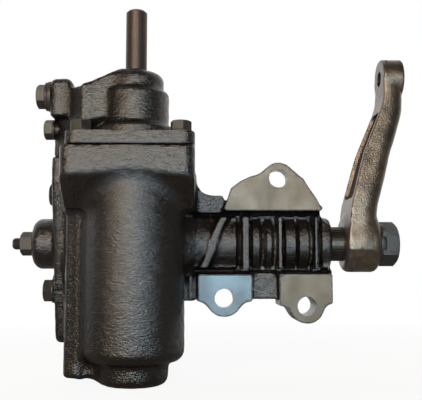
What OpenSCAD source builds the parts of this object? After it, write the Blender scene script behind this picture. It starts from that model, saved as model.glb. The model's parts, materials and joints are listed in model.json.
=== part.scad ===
// Power steering gearbox with its pitman arm, in millimetres.
// The worm and the input shaft stand upright along Z, and the sector shaft lies along X.
// Sizes are worked out about the gear centre, where the sector axis passes behind the worm axis.
// place_in_frame() then moves everything so that the origin is the upper mounting hole,
// in the plane of the machined pads, with the side that is bolted to the vehicle facing -Y.

/* [Gears] */
// Distance between the worm axis and the sector shaft axis
gear_centres = 51; // [50.5:0.5:53]
// Pitch radius of the sector teeth
sector_pitch_r = 27; // [26.5:0.5:27.5]
// Angle from one sector tooth to the next, in degrees
tooth_angle = 40; // [39:0.5:41]
// Pressure angle of the rack and the sector, in degrees
pressure_angle = 28; // [26:1:29]
// Height of a tooth above the pitch line
tooth_addendum = 5; // [4:0.25:5.25]
// Depth of a tooth space below the pitch line
tooth_dedendum = 6; // [5.5:0.25:6.25]
// Width of the sector teeth along the shaft
sector_w = 34; // [28:1:36]
// Advance of the worm thread in one turn
worm_lead = 10; // [9:0.5:11]
// Diameter of the recirculating balls
ball_d = 5.5; // [5:0.25:5.75]
// Radius of the circle that the ball centres run on
ball_path_r = 11.4; // [11.2:0.1:11.8]

/* [Gear housing] */
// Bore of the power cylinder
cylinder_bore_r = 31.5; // [31.25:0.25:32.5]
// Wall of the power cylinder
cylinder_wall = 6.5; // [5:0.5:8]
// Depth of the cylinder bore below the gear centre
cylinder_drop = 83; // [82.5:0.5:86]
// Thickness of the closed end under the bore
cylinder_end_wall = 23; // [20:1:26]
// Height of the joint face between the housings, above the gear centre
joint_z = 67.8; // [66:0.2:70]
// Distance from the gear centre forward to the front face of the top flange
flange_front = 92; // [91:0.5:95]
// Outer radius of the sector shaft tube
tube_r = 21.7; // [21:0.1:23]
// Distance from the worm axis to the end of the sector shaft tube
tube_end_x = 157; // [154:1:162]
// Distance from the worm axis to the side cover joint
cover_joint_x = 58.6; // [57:0.2:60]

/* [Mounting pads] */
// Distance from the sector axis forward to the plane of the pads
pad_front = 27; // [25:0.5:30]
// Radius of the three mounting holes
mount_hole_r = 7.5; // [6.5:0.25:8]
// Upper hole, to the right of the gear centre
upper_hole_x = 112.7; // [111:0.1:115]
// Upper hole, above the gear centre
upper_hole_z = 51.9; // [50:0.1:54]
// Lower left hole, to the right of the gear centre
left_hole_x = 69; // [68:0.5:70]
// Lower left hole, below the gear centre
left_hole_drop = 43.9; // [43:0.1:45]
// Lower right hole, to the right of the gear centre
right_hole_x = 134.6; // [133:0.1:136]
// Lower right hole, below the gear centre
right_hole_drop = 50.1; // [49:0.1:52]
// Thickness of the upper lug
upper_lug_t = 17; // [14:0.5:20]
// Thickness of the lower left lug
left_lug_t = 15; // [12:0.5:18]
// Thickness of the lower right lug
right_lug_t = 32; // [28:1:36]

/* [Valve housing] */
// Radius of the round valve body
valve_body_r = 25.5; // [24.5:0.25:26.5]
// Thickness of the flange that is bolted down
valve_flange_t = 10.2; // [9:0.2:12]
// Height of the shoulder of the round body, above the gear centre
valve_shoulder_z = 114; // [113:0.5:116]
// Height of the top of the neck, above the gear centre
valve_top_z = 129; // [128:0.5:131]
// Height of the oil port, above the gear centre
port_z = 114; // [112:0.5:116]

/* [Input shaft] */
// Radius of the input shaft
input_r = 8.15; // [7.75:0.05:8.5]
// Height of the tip of the input shaft, above the gear centre
input_tip_z = 179.4; // [170:0.2:190]
// Radius of the spool on the input shaft, inside the valve sleeve
spool_r = 11.5; // [11:0.25:12]
// Twist that the torsion bar allows each way, in degrees
valve_twist = 4; // [3:0.5:5]

/* [Sector shaft] */
// Radius of the bearing journals
journal_r = 14.6; // [14.3:0.1:15]
// Radius of the serrated end
serration_r = 14.2; // [13.5:0.1:14.2]
// Number of serrations
serration_count = 36; // [32:1:40]
// Radius of the thread under the pitman nut
nut_thread_r = 11; // [10:0.5:11.5]
// Distance from the worm axis to the end of the sector shaft
sector_end_x = 213; // [212:0.5:213]

/* [Pitman arm] */
// Distance from the sector axis to the ball stud hole
arm_centres = 140.5; // [130:0.5:150]
// Distance from the worm axis to the near face of the hub
hub_x = 168; // [166:0.5:170]
// Width of the hub along the shaft
hub_w = 29; // [27:0.5:31]
// Radius of the hub
hub_r = 23.3; // [22:0.1:25]
// Distance from the worm axis to the near face of the ball stud eye
eye_x = 203; // [200:0.5:205]
// Width of the ball stud eye
eye_w = 17.5; // [16:0.5:20]
// Radius of the ball stud eye
eye_r = 16.6; // [15.5:0.1:18]
// Small radius of the tapered ball stud hole
eye_hole_r = 6.3; // [5.8:0.1:7]
// Size of the pitman nut across its flats
pitman_nut_af = 32; // [30:1:34]

/* [Side cover] */
// Thickness of the side cover plate
cover_t = 7.4; // [6.5:0.1:9]
// Radius of the domed boss over the adjusting screw
dome_r = 20.5; // [20.2:0.1:22]
// Distance from the worm axis to the end of the dome
dome_end_x = 86.5; // [86:0.5:89]
// Radius of the circle that the cover bolts are on
cover_bolt_circle_r = 40.6; // [40:0.1:42]
// Radius of the adjusting screw
screw_r = 5; // [4:0.25:5.5]
// Distance from the worm axis to the tip of the adjusting screw
screw_tip_x = 104.3; // [102:0.1:107]

/* [Fasteners] */
// Radius of the cover bolts and the valve housing bolts
bolt_r = 5; // [4:0.25:5]
// Size of the valve housing bolts across their flats
bolt_af = 14; // [13:0.5:15]
// Size of the side cover bolts across their flats
cover_bolt_af = 17; // [14:0.5:18]
// Height of a bolt head
bolt_head_h = 6.6; // [5:0.2:8]
// Size of the lock nut across its flats
lock_nut_af = 17; // [15:0.5:19]
// Size of the port plugs across their flats
port_plug_af = 17; // [16:0.5:19]

/* [Hidden] */

// Overrun of every cut past the face that it opens
cut = 1;
// Gap between faces that turn or slide past each other without a fit
free_gap = 0.3;
// Radial gap of a running fit
fit_gap = 0.05;
// Facets of a round bore or shaft, of a small round piece and of a large one
fine = 96;
small = 36;
// Steps in the rounded corner of an outline
corner_steps = 5;
// Largest part of a side that a rounded corner may take
corner_share = 0.48;

// Colours, as the photograph shows them
cast_black = [0.10, 0.08, 0.06];
machined = [0.52, 0.49, 0.44];
dark_steel = [0.22, 0.18, 0.15];
forged_bronze = [0.28, 0.22, 0.16];
bright_steel = [0.66, 0.66, 0.68];
seal_black = [0.05, 0.05, 0.05];
gasket_grey = [0.30, 0.32, 0.30];

// Gear sizes
tooth_pitch = sector_pitch_r * tooth_angle * PI / 180;
travel = tooth_pitch;
flank_gap = 0.2;
tooth_count = 3;
involute_steps = 6;
base_r = sector_pitch_r * cos(pressure_angle);
sector_tip_r = sector_pitch_r + tooth_addendum;
sector_root_r = sector_pitch_r - tooth_addendum - 1.8;
sector_hub_r = 18;
rack_offset = gear_centres - sector_pitch_r;
chamber_gap = 0.9;
chamber_r = sector_tip_r + chamber_gap;
chamber_wall = 7;
chamber_end_x = sector_w / 2 + 2.5;
throat = [[chamber_end_x, chamber_r + chamber_wall], [47, tube_r + 3.3], [62, tube_r]];

// Cylinder
cylinder_r = cylinder_bore_r + cylinder_wall;
boss_r = 26.4;
boss_rise = 14.5;
boss_corner = 6;
shoulder_rise = 20;
shoulder_corner = 9;
cylinder_bottom = cylinder_drop + cylinder_end_wall;

// Top flange of the gear housing
block_left = 51.5;
block_right = 45.7;
block_rear = 12;
block_h = 44;
underside_drop = 20.5;
underside_slope = 42;
flange_left = 48;
front_corner = 8;

// Oil passage column on the left of the cylinder
column_left = 52.2;
column_w = 14.7;
column_front = 60;
column_rear = 24;
column_drop = 101.3;
column_corner = 7;
tie_front = 55;
tie_right = 10;

// Valve housing bolts, from the gear centre
bolt_right_x = 35.5;
bolt_left_x = 37;
bolt_front_y = 82;
bolt_rear_y = 20;
bolt_depth = 22;
bolt_washer_share = 1.16;
bolt_washer_h = 1.6;
bolt_turn = 12;

// Mounting lugs
upper_lug_r = 13.2;
left_lug_r = 15;
right_lug_r = 14.4;
upper_pad_left = 68;
upper_pad_right = 147.5;
upper_pad_bottom = 25.7;
lower_pad_top = 24.7;
left_pad_left = 48;
left_pad_right = 91;
right_pad_left = 112;
right_pad_right = 155.2;
pad_corner = 4;
web_set_back = 11;
web_t = 12;
web_clear = 2.4;

// Corners of the pads from their holes, as shares of the radius of the lug
upper_pad_shares = [[1.9, -0.71], [1.27, 0.08], [0.89, 0.27], [-1, 0.31], [-2.21, 0], [-2.97, -0.67]];
left_pad_shares = [[1.43, -0.17], [0.79, -0.44], [-0.87, -0.46], [-1.4, -0.17]];
right_pad_shares = [[1.39, 0.11], [0.76, -0.31], [-1.19, -0.47], [-1.57, -0.19]];

// Ribs round the tube: distance from the worm axis, width and height
rib_places = [[85.9, 4.4], [95.1, 4.4], [105.4, 5.3], [114.1, 2.6], [123, 7.2], [133.4, 5.6],
    [142.3, 2.4]];
rib_h = 2.9;
slant_rib_x = 58.5;
slant_rib_w = 4.6;
slant_rib_angle = 22;

// Bearings and seals of the sector shaft
needle_r = 1.25;
needle_count = 26;
needle_l = 20;
shell_t = 1;
bearing_l = 24;
shell_in_r = journal_r + 2 * needle_r + 2 * fit_gap;
shell_out_r = shell_in_r + shell_t;
inner_bearing_x = chamber_end_x + 5;
oil_seal_t = 7;
seal_washer_t = 1.2;
snap_ring_t = 1.5;
snap_groove = 1;
snap_opening = 5;
dust_seal_t = 4.7;
snap_ring_x = tube_end_x - dust_seal_t - snap_ring_t;
oil_seal_x = snap_ring_x - seal_washer_t - oil_seal_t;
outer_bearing_x = oil_seal_x - 2 * free_gap - bearing_l;
seal_lip_gap = 0.08;

// Side cover outline, seen from the left: [forward or back, up or down]
cover_top_z = 67.3;
cover_bottom_z = 80;
cover_front_y = 40;
cover_toe_y = 11;
cover_rear_y = 50;
cover_corner = 9;
cover_outline_shares = [[-1, 1, 0.3], [-1, 0.7, 1], [-0.275, -1.19, 1], [0.25, -1.19, 1],
    [1.25, -0.33, 2.2], [1.25, 0.36, 2.2], [0.4, 1, 1]];
gasket_t = 0.5;
pilot_gap = 0.3;
pilot_depth = 6;
cover_bolt_angles = [88, 249, 22, 306];
cover_bolt_l = 18;
dome_wall = 2.5;
dome_end_wall = 6.5;
cover_bearing_x = dome_end_x - dome_end_wall - bearing_l - free_gap;
dome_corner = 7;
collar_r = 8;
collar_t = 1.2;
screw_head_r = 7.4;
screw_head_t = 4;
shim_t = 1;
slot_gap = 0.15;
slot_lip = 2.4;
sector_left_x = dome_end_x - dome_end_wall - 1.2;
head_left_x = sector_left_x - slot_lip;
head_room = screw_head_t + shim_t + 2 * slot_gap;
lock_nut_t = 9.8;
screw_chamfer = 1.2;
nut_chamfer_share = 0.86;

// Pitman arm
hub_corner = 2.5;
shank_near_shares = [[0, 0], [0.085, 0], [0.214, 0.043], [0.534, 0.443], [0.826, 0.9], [0.904, 1], [1, 1]];
shank_hub_t = 24.5;
shank_eye_t = 17.5;
shank_width_shares = [[0, 0.9], [0.28, 0.815], [0.534, 0.622], [0.78, 0.54], [1, 0.55]];
recess_depth = 3.8;
recess_wall = 4.6;
recess_corner = 4;
recess_start_share = 0.256;
recess_end_share = 0.797;
eye_taper_share = 0.125;
hub_taper_share = 0.055;
serration_depth = 0.9;
serration_start_x = tube_end_x + 1.5;
washer_t = 2.2;
washer_r = 17.5;
pitman_nut_t = 14;
pitman_nut_collar_r = 17;
pitman_nut_collar_t = 3;
thread_bore_gap = 0.1;

// Power piston
piston_gap = 0.3;
piston_r = cylinder_bore_r - piston_gap;
piston_top = 32;
piston_bottom = 62;
rack_half = 32;
ring_z = -54.5;
ring_w = 3;
ring_depth = 2.7;
nut_gap = 0.5;
nut_turns = 2;
nut_mid_z = 8;
groove_gap = 0.12;
groove_sides = 12;
groove_steps = 24;
groove_start = -1.25;
helix_zero = nut_mid_z - worm_lead * (groove_start + nut_turns / 2);
groove_r = (ball_d / 2 + groove_gap + ball_path_r * (1 - cos(180 / groove_steps)))
    / cos(180 / groove_sides);
worm_r = ball_path_r - 0.5;
nut_bore_r = ball_path_r + nut_gap;
nut_bore_bottom = -50;
worm_run_out = 0.2;
ball_spacing = ball_d + 0.25;
guide_tube_r = ball_d / 2 + 0.95;
guide_bore_r = ball_d / 2 + 0.15;
guide_offset = 24.4;
guide_seat_r = ball_path_r + ball_d / 2 + 0.2;
pocket_offset = guide_offset - guide_tube_r - 0.2;
pocket_half_w = 14;
pocket_half_l = 17;
clamp_t = 1.4;
clamp_w = 8;
clamp_foot = 7.4;
clamp_screw_r = 2;
clamp_screw_head_r = 3.2;
clamp_screw_head_h = 1.6;
clamp_screw_l = 5;

// Worm head and its thrust bearings
worm_bottom = -26;
worm_neck_r = 10;
worm_neck_z = 41;
worm_head_r = 18;
worm_head_z = joint_z - 3.8;
worm_head_t = 6;
race_t = 1.5;
thrust_ball_r = 1.6;
thrust_ball_gap = 0.15;
thrust_ball_count = 20;
race_in_r = 13.2;
race_out_r = 20;
thrust_t = 2 * race_t + 2 * thrust_ball_r + 2 * thrust_ball_gap;
retainer_t = 5;
retainer_in_r = 14;
bearing_bore_r = 20.6;
pilot_r = cylinder_bore_r - fit_gap;
pilot_bottom = worm_head_z - thrust_t - retainer_t;
worm_collar_r = 12.2;
worm_collar_top = worm_head_z + worm_head_t + thrust_t + 6;
socket_depth = 6.5;
socket_gap = 0.4;

// Valve sleeve and spool
sleeve_wall = 5.3;
sleeve_in_r = spool_r + fit_gap;
sleeve_out_r = sleeve_in_r + sleeve_wall;
sleeve_bore_gap = 0.3;
sleeve_bore_r = sleeve_out_r + sleeve_bore_gap;
sleeve_l = 27;
sleeve_skirt = 5.2;
sleeve_bottom = worm_collar_top - sleeve_skirt;
sleeve_top = worm_collar_top + sleeve_l;
sleeve_ring_w = 1.6;
sleeve_ring_depth = 1.4;
sleeve_ring_count = 4;
sleeve_port_w = 3.4;
sleeve_port_depth = 1.2;
sleeve_port_count = 4;
port_hole_r = 1.3;
spool_slots = 6;
spool_slot_w = 3;
spool_slot_depth = 1.1;
spool_slot_l = 18;
tongue_r = 8;
tongue_half = 5;
tongue_l = 5.6;
bar_r = 2.75;
bar_end_r = 4;
bar_end_l = 14;
bar_bottom = worm_neck_z + 3;
bar_top = sleeve_top + 13;
pin_r = 1.5;
sleeve_pin_r = 1.2;
input_chamfer = 1.6;
input_journal_r = input_r + 0.35;
input_step_z = valve_top_z + 3;

// Input bearing, seal and dust cover
input_bearing_t = 7.5;
input_bearing_z = sleeve_top + 2.5;
input_shoulder_r = 12.5;
input_bearing_r = 15.5;
input_race_t = 1.7;
input_ball_count = 9;
input_ball_gap = 0.1;
input_seal_t = 5;
input_snap_t = 1.2;
input_snap_w = 1.6;
input_snap_depth = 1;
input_seal_z = input_bearing_z + input_bearing_t + input_snap_t;
dust_cover_t = 4;
dust_cover_flare = 1.2;
neck_r = 21.4;
neck_corner = 6;
valve_ring_r = 31;
valve_ring_h = 8.4;
valve_ring_corner = 2.5;

// Arm of the valve housing that carries the oil ports
arm_left = 66;
arm_front = 67.5;
arm_rear = 24;
arm_boss_right = 52;
arm_boss_bottom = 97;
arm_boss_top = 126;
arm_corner = 4;
arm_valley = [43.5, 118];
arm_boss_front = 54;
facet_left = 38.5;
facet_bottom = 88.5;
facet_slope = 4;
side_wall_front = 40;
side_wall_rear = 5;
side_wall_right = 44;
side_wall_top = 116;
port_y = 40;
port_bore_r = 7;
port_depth = 12;
port_washer_r = 12;
port_washer_t = 3.4;
port_plug_head_h = 8.6;
rear_port_z = 96;
rear_port_x = 20;
passage_plug_z = 90;
passage_plug_y = 28;
passage_plug_l = 10;
oil_ring_r = 1.3;
oil_ring_z = joint_z - 3 * oil_ring_r;

// Rounds the corners of an outline, each point being [x, y, radius]
function unit_to(a, b) = (b - a) / norm(b - a);
function flat(p) = [p.x, p.y];
function turn_between(a, b) = let (d = b - a) d > 180 ? d - 360 : d < -180 ? d + 360 : d;
function corner_arc(before, here, after) =
    let (u = unit_to(flat(here), flat(before)))
    let (v = unit_to(flat(here), flat(after)))
    let (half = acos(max(-1, min(1, u * v))) / 2)
    let (room = corner_share * min(norm(flat(before) - flat(here)), norm(flat(after) - flat(here))))
    let (reach = min(here.z / tan(half), room))
    let (r = reach * tan(half))
    let (middle = flat(here) + (u + v) / norm(u + v) * r / sin(half))
    let (from = flat(here) + u * reach - middle)
    let (to = flat(here) + v * reach - middle)
    let (start = atan2(from.y, from.x))
    let (sweep = turn_between(start, atan2(to.y, to.x)))
    [for (i = [0 : corner_steps])
        middle + r * [cos(start + sweep * i / corner_steps), sin(start + sweep * i / corner_steps)]];
function round_outline(points) =
    let (n = len(points))
    [for (i = [0 : n - 1])
        each points[i].z > 0
            ? corner_arc(points[(i + n - 1) % n], points[i], points[(i + 1) % n])
            : [flat(points[i])]];

module place_in_frame() {
    translate([-upper_hole_x, pad_front, -upper_hole_z]) children();
}

module on_worm_axis(z = 0) {
    translate([0, -gear_centres, z]) children();
}

// Cylinder along +X from x
module rod_x(x, r, l) {
    translate([x, 0, 0]) rotate([0, 90, 0]) cylinder(r = r, h = l, $fn = fine);
}

// Extrudes an outline in X and Z backwards from its front plane
module facing_front(front_y, depth) {
    translate([0, front_y + depth, 0]) rotate([90, 0, 0]) linear_extrude(depth) children();
}

// Extrudes an outline in Y and Z to the right of its left plane
module facing_left(left_x, depth) {
    translate([left_x, 0, 0]) rotate([90, 0, 90]) linear_extrude(depth) children();
}

module tube(out_r, in_r, h) {
    difference() {
        cylinder(r = out_r, h = h, $fn = fine);
        translate([0, 0, -cut]) cylinder(r = in_r, h = h + 2 * cut, $fn = fine);
    }
}

// Ring along +X from x
module ring_x(x, out_r, in_r, l) {
    translate([x, 0, 0]) rotate([0, 90, 0]) tube(out_r, in_r, l);
}

// Hexagon with chamfered corners on its top face
module hex_block(af, h) {
    corner_r = af / sqrt(3);
    chamfer_h = (corner_r - af / 2) * nut_chamfer_share;
    intersection() {
        cylinder(r = corner_r, h = h, $fn = 6);
        union() {
            cylinder(r = corner_r + cut, h = h - chamfer_h, $fn = fine);
            translate([0, 0, h - chamfer_h])
                cylinder(r1 = corner_r, r2 = af / 2 * nut_chamfer_share + chamfer_h / 2,
                    h = chamfer_h, $fn = fine);
        }
    }
}

// Bolt with a flanged hexagon head, its head standing up from z = 0
module hex_bolt(r, af, head_h, l) {
    washer_r = af / 2 * bolt_washer_share;
    cylinder(r = washer_r, h = bolt_washer_h, $fn = small);
    translate([0, 0, bolt_washer_h]) hex_block(af, head_h - bolt_washer_h);
    translate([0, 0, -l]) cylinder(r = r, h = l + cut / 2, $fn = small);
}

// Outline of the top flange of the gear housing, seen from above
module block_outline(left_x) {
    polygon(round_outline([
        [-left_x, -flange_front, front_corner],
        [block_right, -flange_front, front_corner],
        [block_right, -block_rear, front_corner],
        [-left_x, -block_rear, front_corner]]));
}

module each_valve_bolt() {
    for (x = [-bolt_left_x, bolt_right_x], y = [-bolt_front_y, -bolt_rear_y])
        translate([x, y, 0]) children();
}

// Power cylinder with its closed, stepped lower end
module cylinder_form() {
    on_worm_axis() rotate_extrude($fn = fine)
        polygon(round_outline([
            [0, -cylinder_bottom, 0],
            [boss_r, -cylinder_bottom, boss_corner],
            [boss_r, -cylinder_bottom + boss_rise, boss_corner / 2],
            [cylinder_r, -cylinder_bottom + shoulder_rise, shoulder_corner],
            [cylinder_r, joint_z, 0],
            [0, joint_z, 0]]));
}

// Flange block, with its underside sloped back to the cylinder
module block_form() {
    difference() {
        translate([0, 0, joint_z - block_h]) linear_extrude(block_h) block_outline(block_left);
        translate([-block_left - cut, -flange_front, joint_z - underside_drop])
            rotate([-underside_slope, 0, 0]) translate([0, -block_h, -2 * block_h])
                cube([block_left + block_right + 2 * cut, 4 * block_h, 2 * block_h]);
    }
}

// Oil passage column, and the web that ties it to the cylinder
module column_form() {
    translate([0, 0, -column_drop]) linear_extrude(column_drop + joint_z)
        polygon(round_outline([
            [-column_left, -column_front, column_corner],
            [-column_left + column_w, -column_front, column_corner],
            [-column_left + column_w, -column_rear, 0],
            [-column_left, -column_rear, column_corner]]));
    translate([-column_left + column_w - cut, -tie_front, -column_drop])
        cube([column_left - column_w - tie_right, tie_front - column_rear, boss_rise]);
    translate([-column_left + column_w - cut, -tie_front, -column_drop])
        cube([column_w / 2, tie_front - column_rear, column_drop + joint_z - block_h]);
}

// Chamber round the sector, open to the left, and its flange for the side cover
module chamber_form() {
    rod_x(-cover_joint_x, chamber_r + chamber_wall, cover_joint_x + chamber_end_x);
    for (i = [0 : len(throat) - 2])
        translate([throat[i].x, 0, 0]) rotate([0, 90, 0])
            cylinder(r1 = throat[i].y, r2 = throat[i + 1].y, h = throat[i + 1].x - throat[i].x,
                $fn = fine);
    facing_left(-cover_joint_x, cover_t) cover_outline();
}

// Outline of the side cover, as shares of its reach to the front
module cover_outline() {
    polygon(round_outline([for (p = cover_outline_shares)
        [p.x * cover_front_y, p.y * cover_top_z, p.z * cover_corner]]));
}

// Pad between two corners along the tube and the corners on both sides of the round lug
module pad_outline(left_x, right_x, near_z, hole, shares, r) {
    translate(hole) circle(r, $fn = fine);
    polygon(round_outline(concat([[left_x, near_z, pad_corner], [right_x, near_z, pad_corner]],
        [for (p = shares) [hole.x + p.x * r, hole.y + p.y * r, pad_corner]])));
}

module upper_pad_outline() {
    pad_outline(upper_pad_left, upper_pad_right, upper_pad_bottom, mount_holes[0],
        upper_pad_shares, upper_lug_r);
}

module left_pad_outline() {
    pad_outline(left_pad_left, left_pad_right, -lower_pad_top, mount_holes[1],
        left_pad_shares, left_lug_r);
}

module right_pad_outline() {
    pad_outline(right_pad_left, right_pad_right, -lower_pad_top, mount_holes[2],
        right_pad_shares, right_lug_r);
}

// Cast webs that carry the pads on the tube and tie them to the cylinder
module web_form() {
    web_y = -pad_front + web_set_back;
    facing_front(web_y, web_t) polygon(round_outline([
        [0, 0, 0],
        [upper_pad_right + pad_corner, 0, 0],
        [upper_pad_right + pad_corner, upper_pad_bottom / 2, pad_corner],
        [upper_pad_right, upper_pad_bottom, pad_corner],
        [upper_pad_left + pad_corner, upper_pad_bottom + pad_corner, 0],
        [upper_pad_left, upper_hole_z - upper_lug_r, 0],
        [block_right + pad_corner, upper_hole_z - upper_lug_r, pad_corner],
        [block_right, joint_z - block_h / 2, 0],
        [0, joint_z - block_h / 2, 0]]));
    hole_top = left_hole_drop - mount_hole_r - web_clear;
    facing_front(web_y, web_t) polygon(round_outline([
        [0, 0, 0],
        [0, -left_hole_drop - pad_corner, 0],
        [cylinder_r, -left_hole_drop - pad_corner, 0],
        [left_pad_left - pad_corner, -left_hole_drop - pad_corner / 2, pad_corner],
        [left_pad_left + 2 * pad_corner, -left_hole_drop - pad_corner / 2, 0],
        [left_pad_left + 2 * pad_corner, -hole_top, 0],
        [left_pad_right - 2 * pad_corner, -hole_top, 0],
        [left_pad_right - 2 * pad_corner, -left_hole_drop - pad_corner / 2, 0],
        [left_pad_right, -left_hole_drop - pad_corner / 2, pad_corner],
        [left_pad_right + pad_corner, -left_hole_drop, pad_corner],
        [right_pad_left - pad_corner, -left_hole_drop, pad_corner],
        [right_pad_left + pad_corner, -right_hole_drop, 0],
        [right_hole_x - mount_hole_r - web_clear, -right_hole_drop, 0],
        [right_hole_x - mount_hole_r - web_clear, -right_hole_drop + mount_hole_r + web_clear, 0],
        [right_pad_right - pad_corner / 2, -right_hole_drop + mount_hole_r + web_clear, 0],
        [right_pad_right - pad_corner / 2, 0, 0]]));
}

// Rings and the slanted rib cast round the front of the tube
module rib_form() {
    for (rib = rib_places) rod_x(rib[0] - rib[1] / 2, tube_r + rib_h, rib[1]);
    intersection() {
        rod_x(block_right, tube_r + rib_h, upper_pad_left + pad_corner - block_right);
        translate([slant_rib_x, -tube_r - rib_h, 0]) rotate([0, slant_rib_angle, 0])
            translate([-slant_rib_w / 2, 0, -2 * tube_r]) cube([slant_rib_w, tube_r, 4 * tube_r]);
    }
}

module gear_housing() {
    color(cast_black) place_in_frame() difference() {
        union() {
            cylinder_form();
            block_form();
            column_form();
            chamber_form();
            rod_x(0, tube_r, tube_end_x);
            rib_form();
            web_form();
            facing_front(-pad_front, upper_lug_t) upper_pad_outline();
            facing_front(-pad_front, left_lug_t) left_pad_outline();
            facing_front(-pad_front, right_lug_t) right_pad_outline();
        }
        on_worm_axis(-cylinder_drop)
            cylinder(r = cylinder_bore_r, h = cylinder_drop + joint_z + cut, $fn = fine);
        rod_x(-cover_joint_x - cut, chamber_r, cover_joint_x + chamber_end_x + cut);
        rod_x(0, journal_r + free_gap, tube_end_x);
        rod_x(inner_bearing_x, shell_out_r, tube_end_x - inner_bearing_x + cut);
        rod_x(snap_ring_x, shell_out_r + snap_groove, snap_ring_t);
        each_valve_bolt() translate([0, 0, joint_z - bolt_depth])
            cylinder(r = bolt_r, h = bolt_depth + cut, $fn = small);
        each_cover_bolt(-cover_joint_x - cut) cylinder(r = bolt_r, h = cover_bolt_l, $fn = small);
        for (hole = mount_holes)
            translate([hole.x, -pad_front - cut, hole.y]) rotate([-90, 0, 0])
                cylinder(r = mount_hole_r, h = right_lug_t + 2 * cut, $fn = fine);
    }
}

mount_holes = [[upper_hole_x, upper_hole_z], [left_hole_x, -left_hole_drop],
    [right_hole_x, -right_hole_drop]];

module each_cover_bolt(x) {
    for (a = cover_bolt_angles)
        translate([x, cover_bolt_circle_r * cos(a), cover_bolt_circle_r * sin(a)])
            rotate([0, 90, 0]) children();
}

// Front silhouette of the arm: boss of the oil port, valley, and the rise to the neck
module arm_outline() {
    polygon(round_outline([
        [-arm_left, arm_boss_bottom, arm_corner / 2],
        [-arm_left, arm_boss_top, arm_corner],
        [-arm_boss_right - arm_corner, arm_boss_top, 2 * arm_corner],
        [-arm_valley.x - arm_corner / 2, arm_valley.y, 2 * arm_corner],
        [-arm_valley.x + arm_corner / 2, arm_valley.y, arm_corner],
        [-neck_r / 2, valve_top_z - arm_corner / 4, 2 * arm_corner],
        [0, valve_top_z - arm_corner / 4, 0],
        [0, facet_bottom + facet_slope, 0],
        [-facet_left, facet_bottom, 0],
        [-facet_left, joint_z, 0],
        [-arm_boss_right, joint_z, 0],
        [-arm_boss_right, arm_boss_bottom, 0]]));
}

// The arm, with its boss set back behind a slanting side of the facet, and the wall under it
module arm_form() {
    difference() {
        facing_front(-arm_front, arm_front - arm_rear) arm_outline();
        translate([0, 0, joint_z - cut]) linear_extrude(arm_boss_top - joint_z + 2 * cut) polygon([
            [-arm_left - cut, -arm_front - cut], [-facet_left, -arm_front - cut],
            [-arm_boss_right + cut, -arm_boss_front], [-arm_left - cut, -arm_boss_front]]);
    }
    translate([-facet_left - cut, -arm_front + 2 * arm_corner, joint_z])
        cube([facet_left + cut, arm_front - arm_rear - 2 * arm_corner, facet_bottom + cut - joint_z]);
    translate([-arm_left, -side_wall_front, joint_z])
        cube([arm_left - side_wall_right, side_wall_front - side_wall_rear, side_wall_top - joint_z]);
}

module valve_housing() {
    flange_top = joint_z + valve_flange_t;
    color(cast_black) place_in_frame() difference() {
        union() {
            translate([0, 0, joint_z]) linear_extrude(valve_flange_t) block_outline(flange_left);
            on_worm_axis() rotate_extrude($fn = fine) polygon(round_outline([
                [0, joint_z, 0],
                [valve_ring_r, joint_z, 0],
                [valve_ring_r, flange_top + valve_ring_h, valve_ring_corner],
                [valve_body_r, flange_top + valve_ring_h, valve_ring_corner],
                [valve_body_r, valve_shoulder_z, neck_corner / 2],
                [neck_r, valve_shoulder_z + neck_corner / 4, neck_corner / 4],
                [neck_r, valve_top_z, neck_corner],
                [0, valve_top_z, 0]]));
            arm_form();
            on_worm_axis(pilot_bottom) cylinder(r = pilot_r, h = joint_z - pilot_bottom, $fn = fine);
        }
        on_worm_axis(oil_ring_z - oil_ring_r)
            tube(pilot_r + cut, pilot_r - 2 * oil_ring_r, 2 * oil_ring_r);
        on_worm_axis(pilot_bottom - cut)
            cylinder(r = bearing_bore_r, h = retainer_t + 2 * thrust_t + worm_head_t + cut, $fn = fine);
        on_worm_axis(pilot_bottom)
            cylinder(r = sleeve_bore_r, h = sleeve_top + free_gap - pilot_bottom, $fn = fine);
        on_worm_axis(sleeve_top) cylinder(r = input_shoulder_r, h = valve_top_z - sleeve_top, $fn = fine);
        on_worm_axis(input_bearing_z + input_bearing_t)
            cylinder(r = input_bearing_r + input_snap_depth, h = input_snap_t, $fn = fine);
        on_worm_axis(input_bearing_z)
            cylinder(r = input_bearing_r, h = valve_top_z - input_bearing_z + cut, $fn = fine);
        each_valve_bolt() translate([0, 0, joint_z - cut])
            cylinder(r = bolt_r + free_gap, h = valve_flange_t + 2 * cut, $fn = small);
        each_valve_bolt() translate([0, 0, flange_top])
            cylinder(r = bolt_af / 2 * bolt_washer_share + 2 * free_gap, h = joint_z, $fn = small);
        translate([-arm_left - cut, -port_y, port_z]) rotate([0, 90, 0])
            cylinder(r = port_bore_r, h = port_depth + cut, $fn = small);
        translate([-rear_port_x, -arm_rear + cut, rear_port_z]) rotate([90, 0, 0])
            cylinder(r = port_bore_r, h = port_depth / 2 + cut, $fn = small);
        translate([-arm_left - cut, -passage_plug_y, passage_plug_z]) rotate([0, 90, 0])
            cylinder(r = bolt_r, h = passage_plug_l + cut, $fn = small);
    }
}

module valve_housing_bolts() {
    color(dark_steel) place_in_frame() each_valve_bolt()
        translate([0, 0, joint_z + valve_flange_t]) rotate([0, 0, bolt_turn])
            hex_bolt(bolt_r, bolt_af, bolt_head_h + bolt_washer_h, bolt_depth);
}

// Sealing ring in a groove round the pilot
module valve_housing_seals() {
    color(seal_black) place_in_frame() on_worm_axis(oil_ring_z)
        rotate_extrude($fn = fine) translate([pilot_r - oil_ring_r, 0]) circle(oil_ring_r, $fn = small);
}

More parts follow.
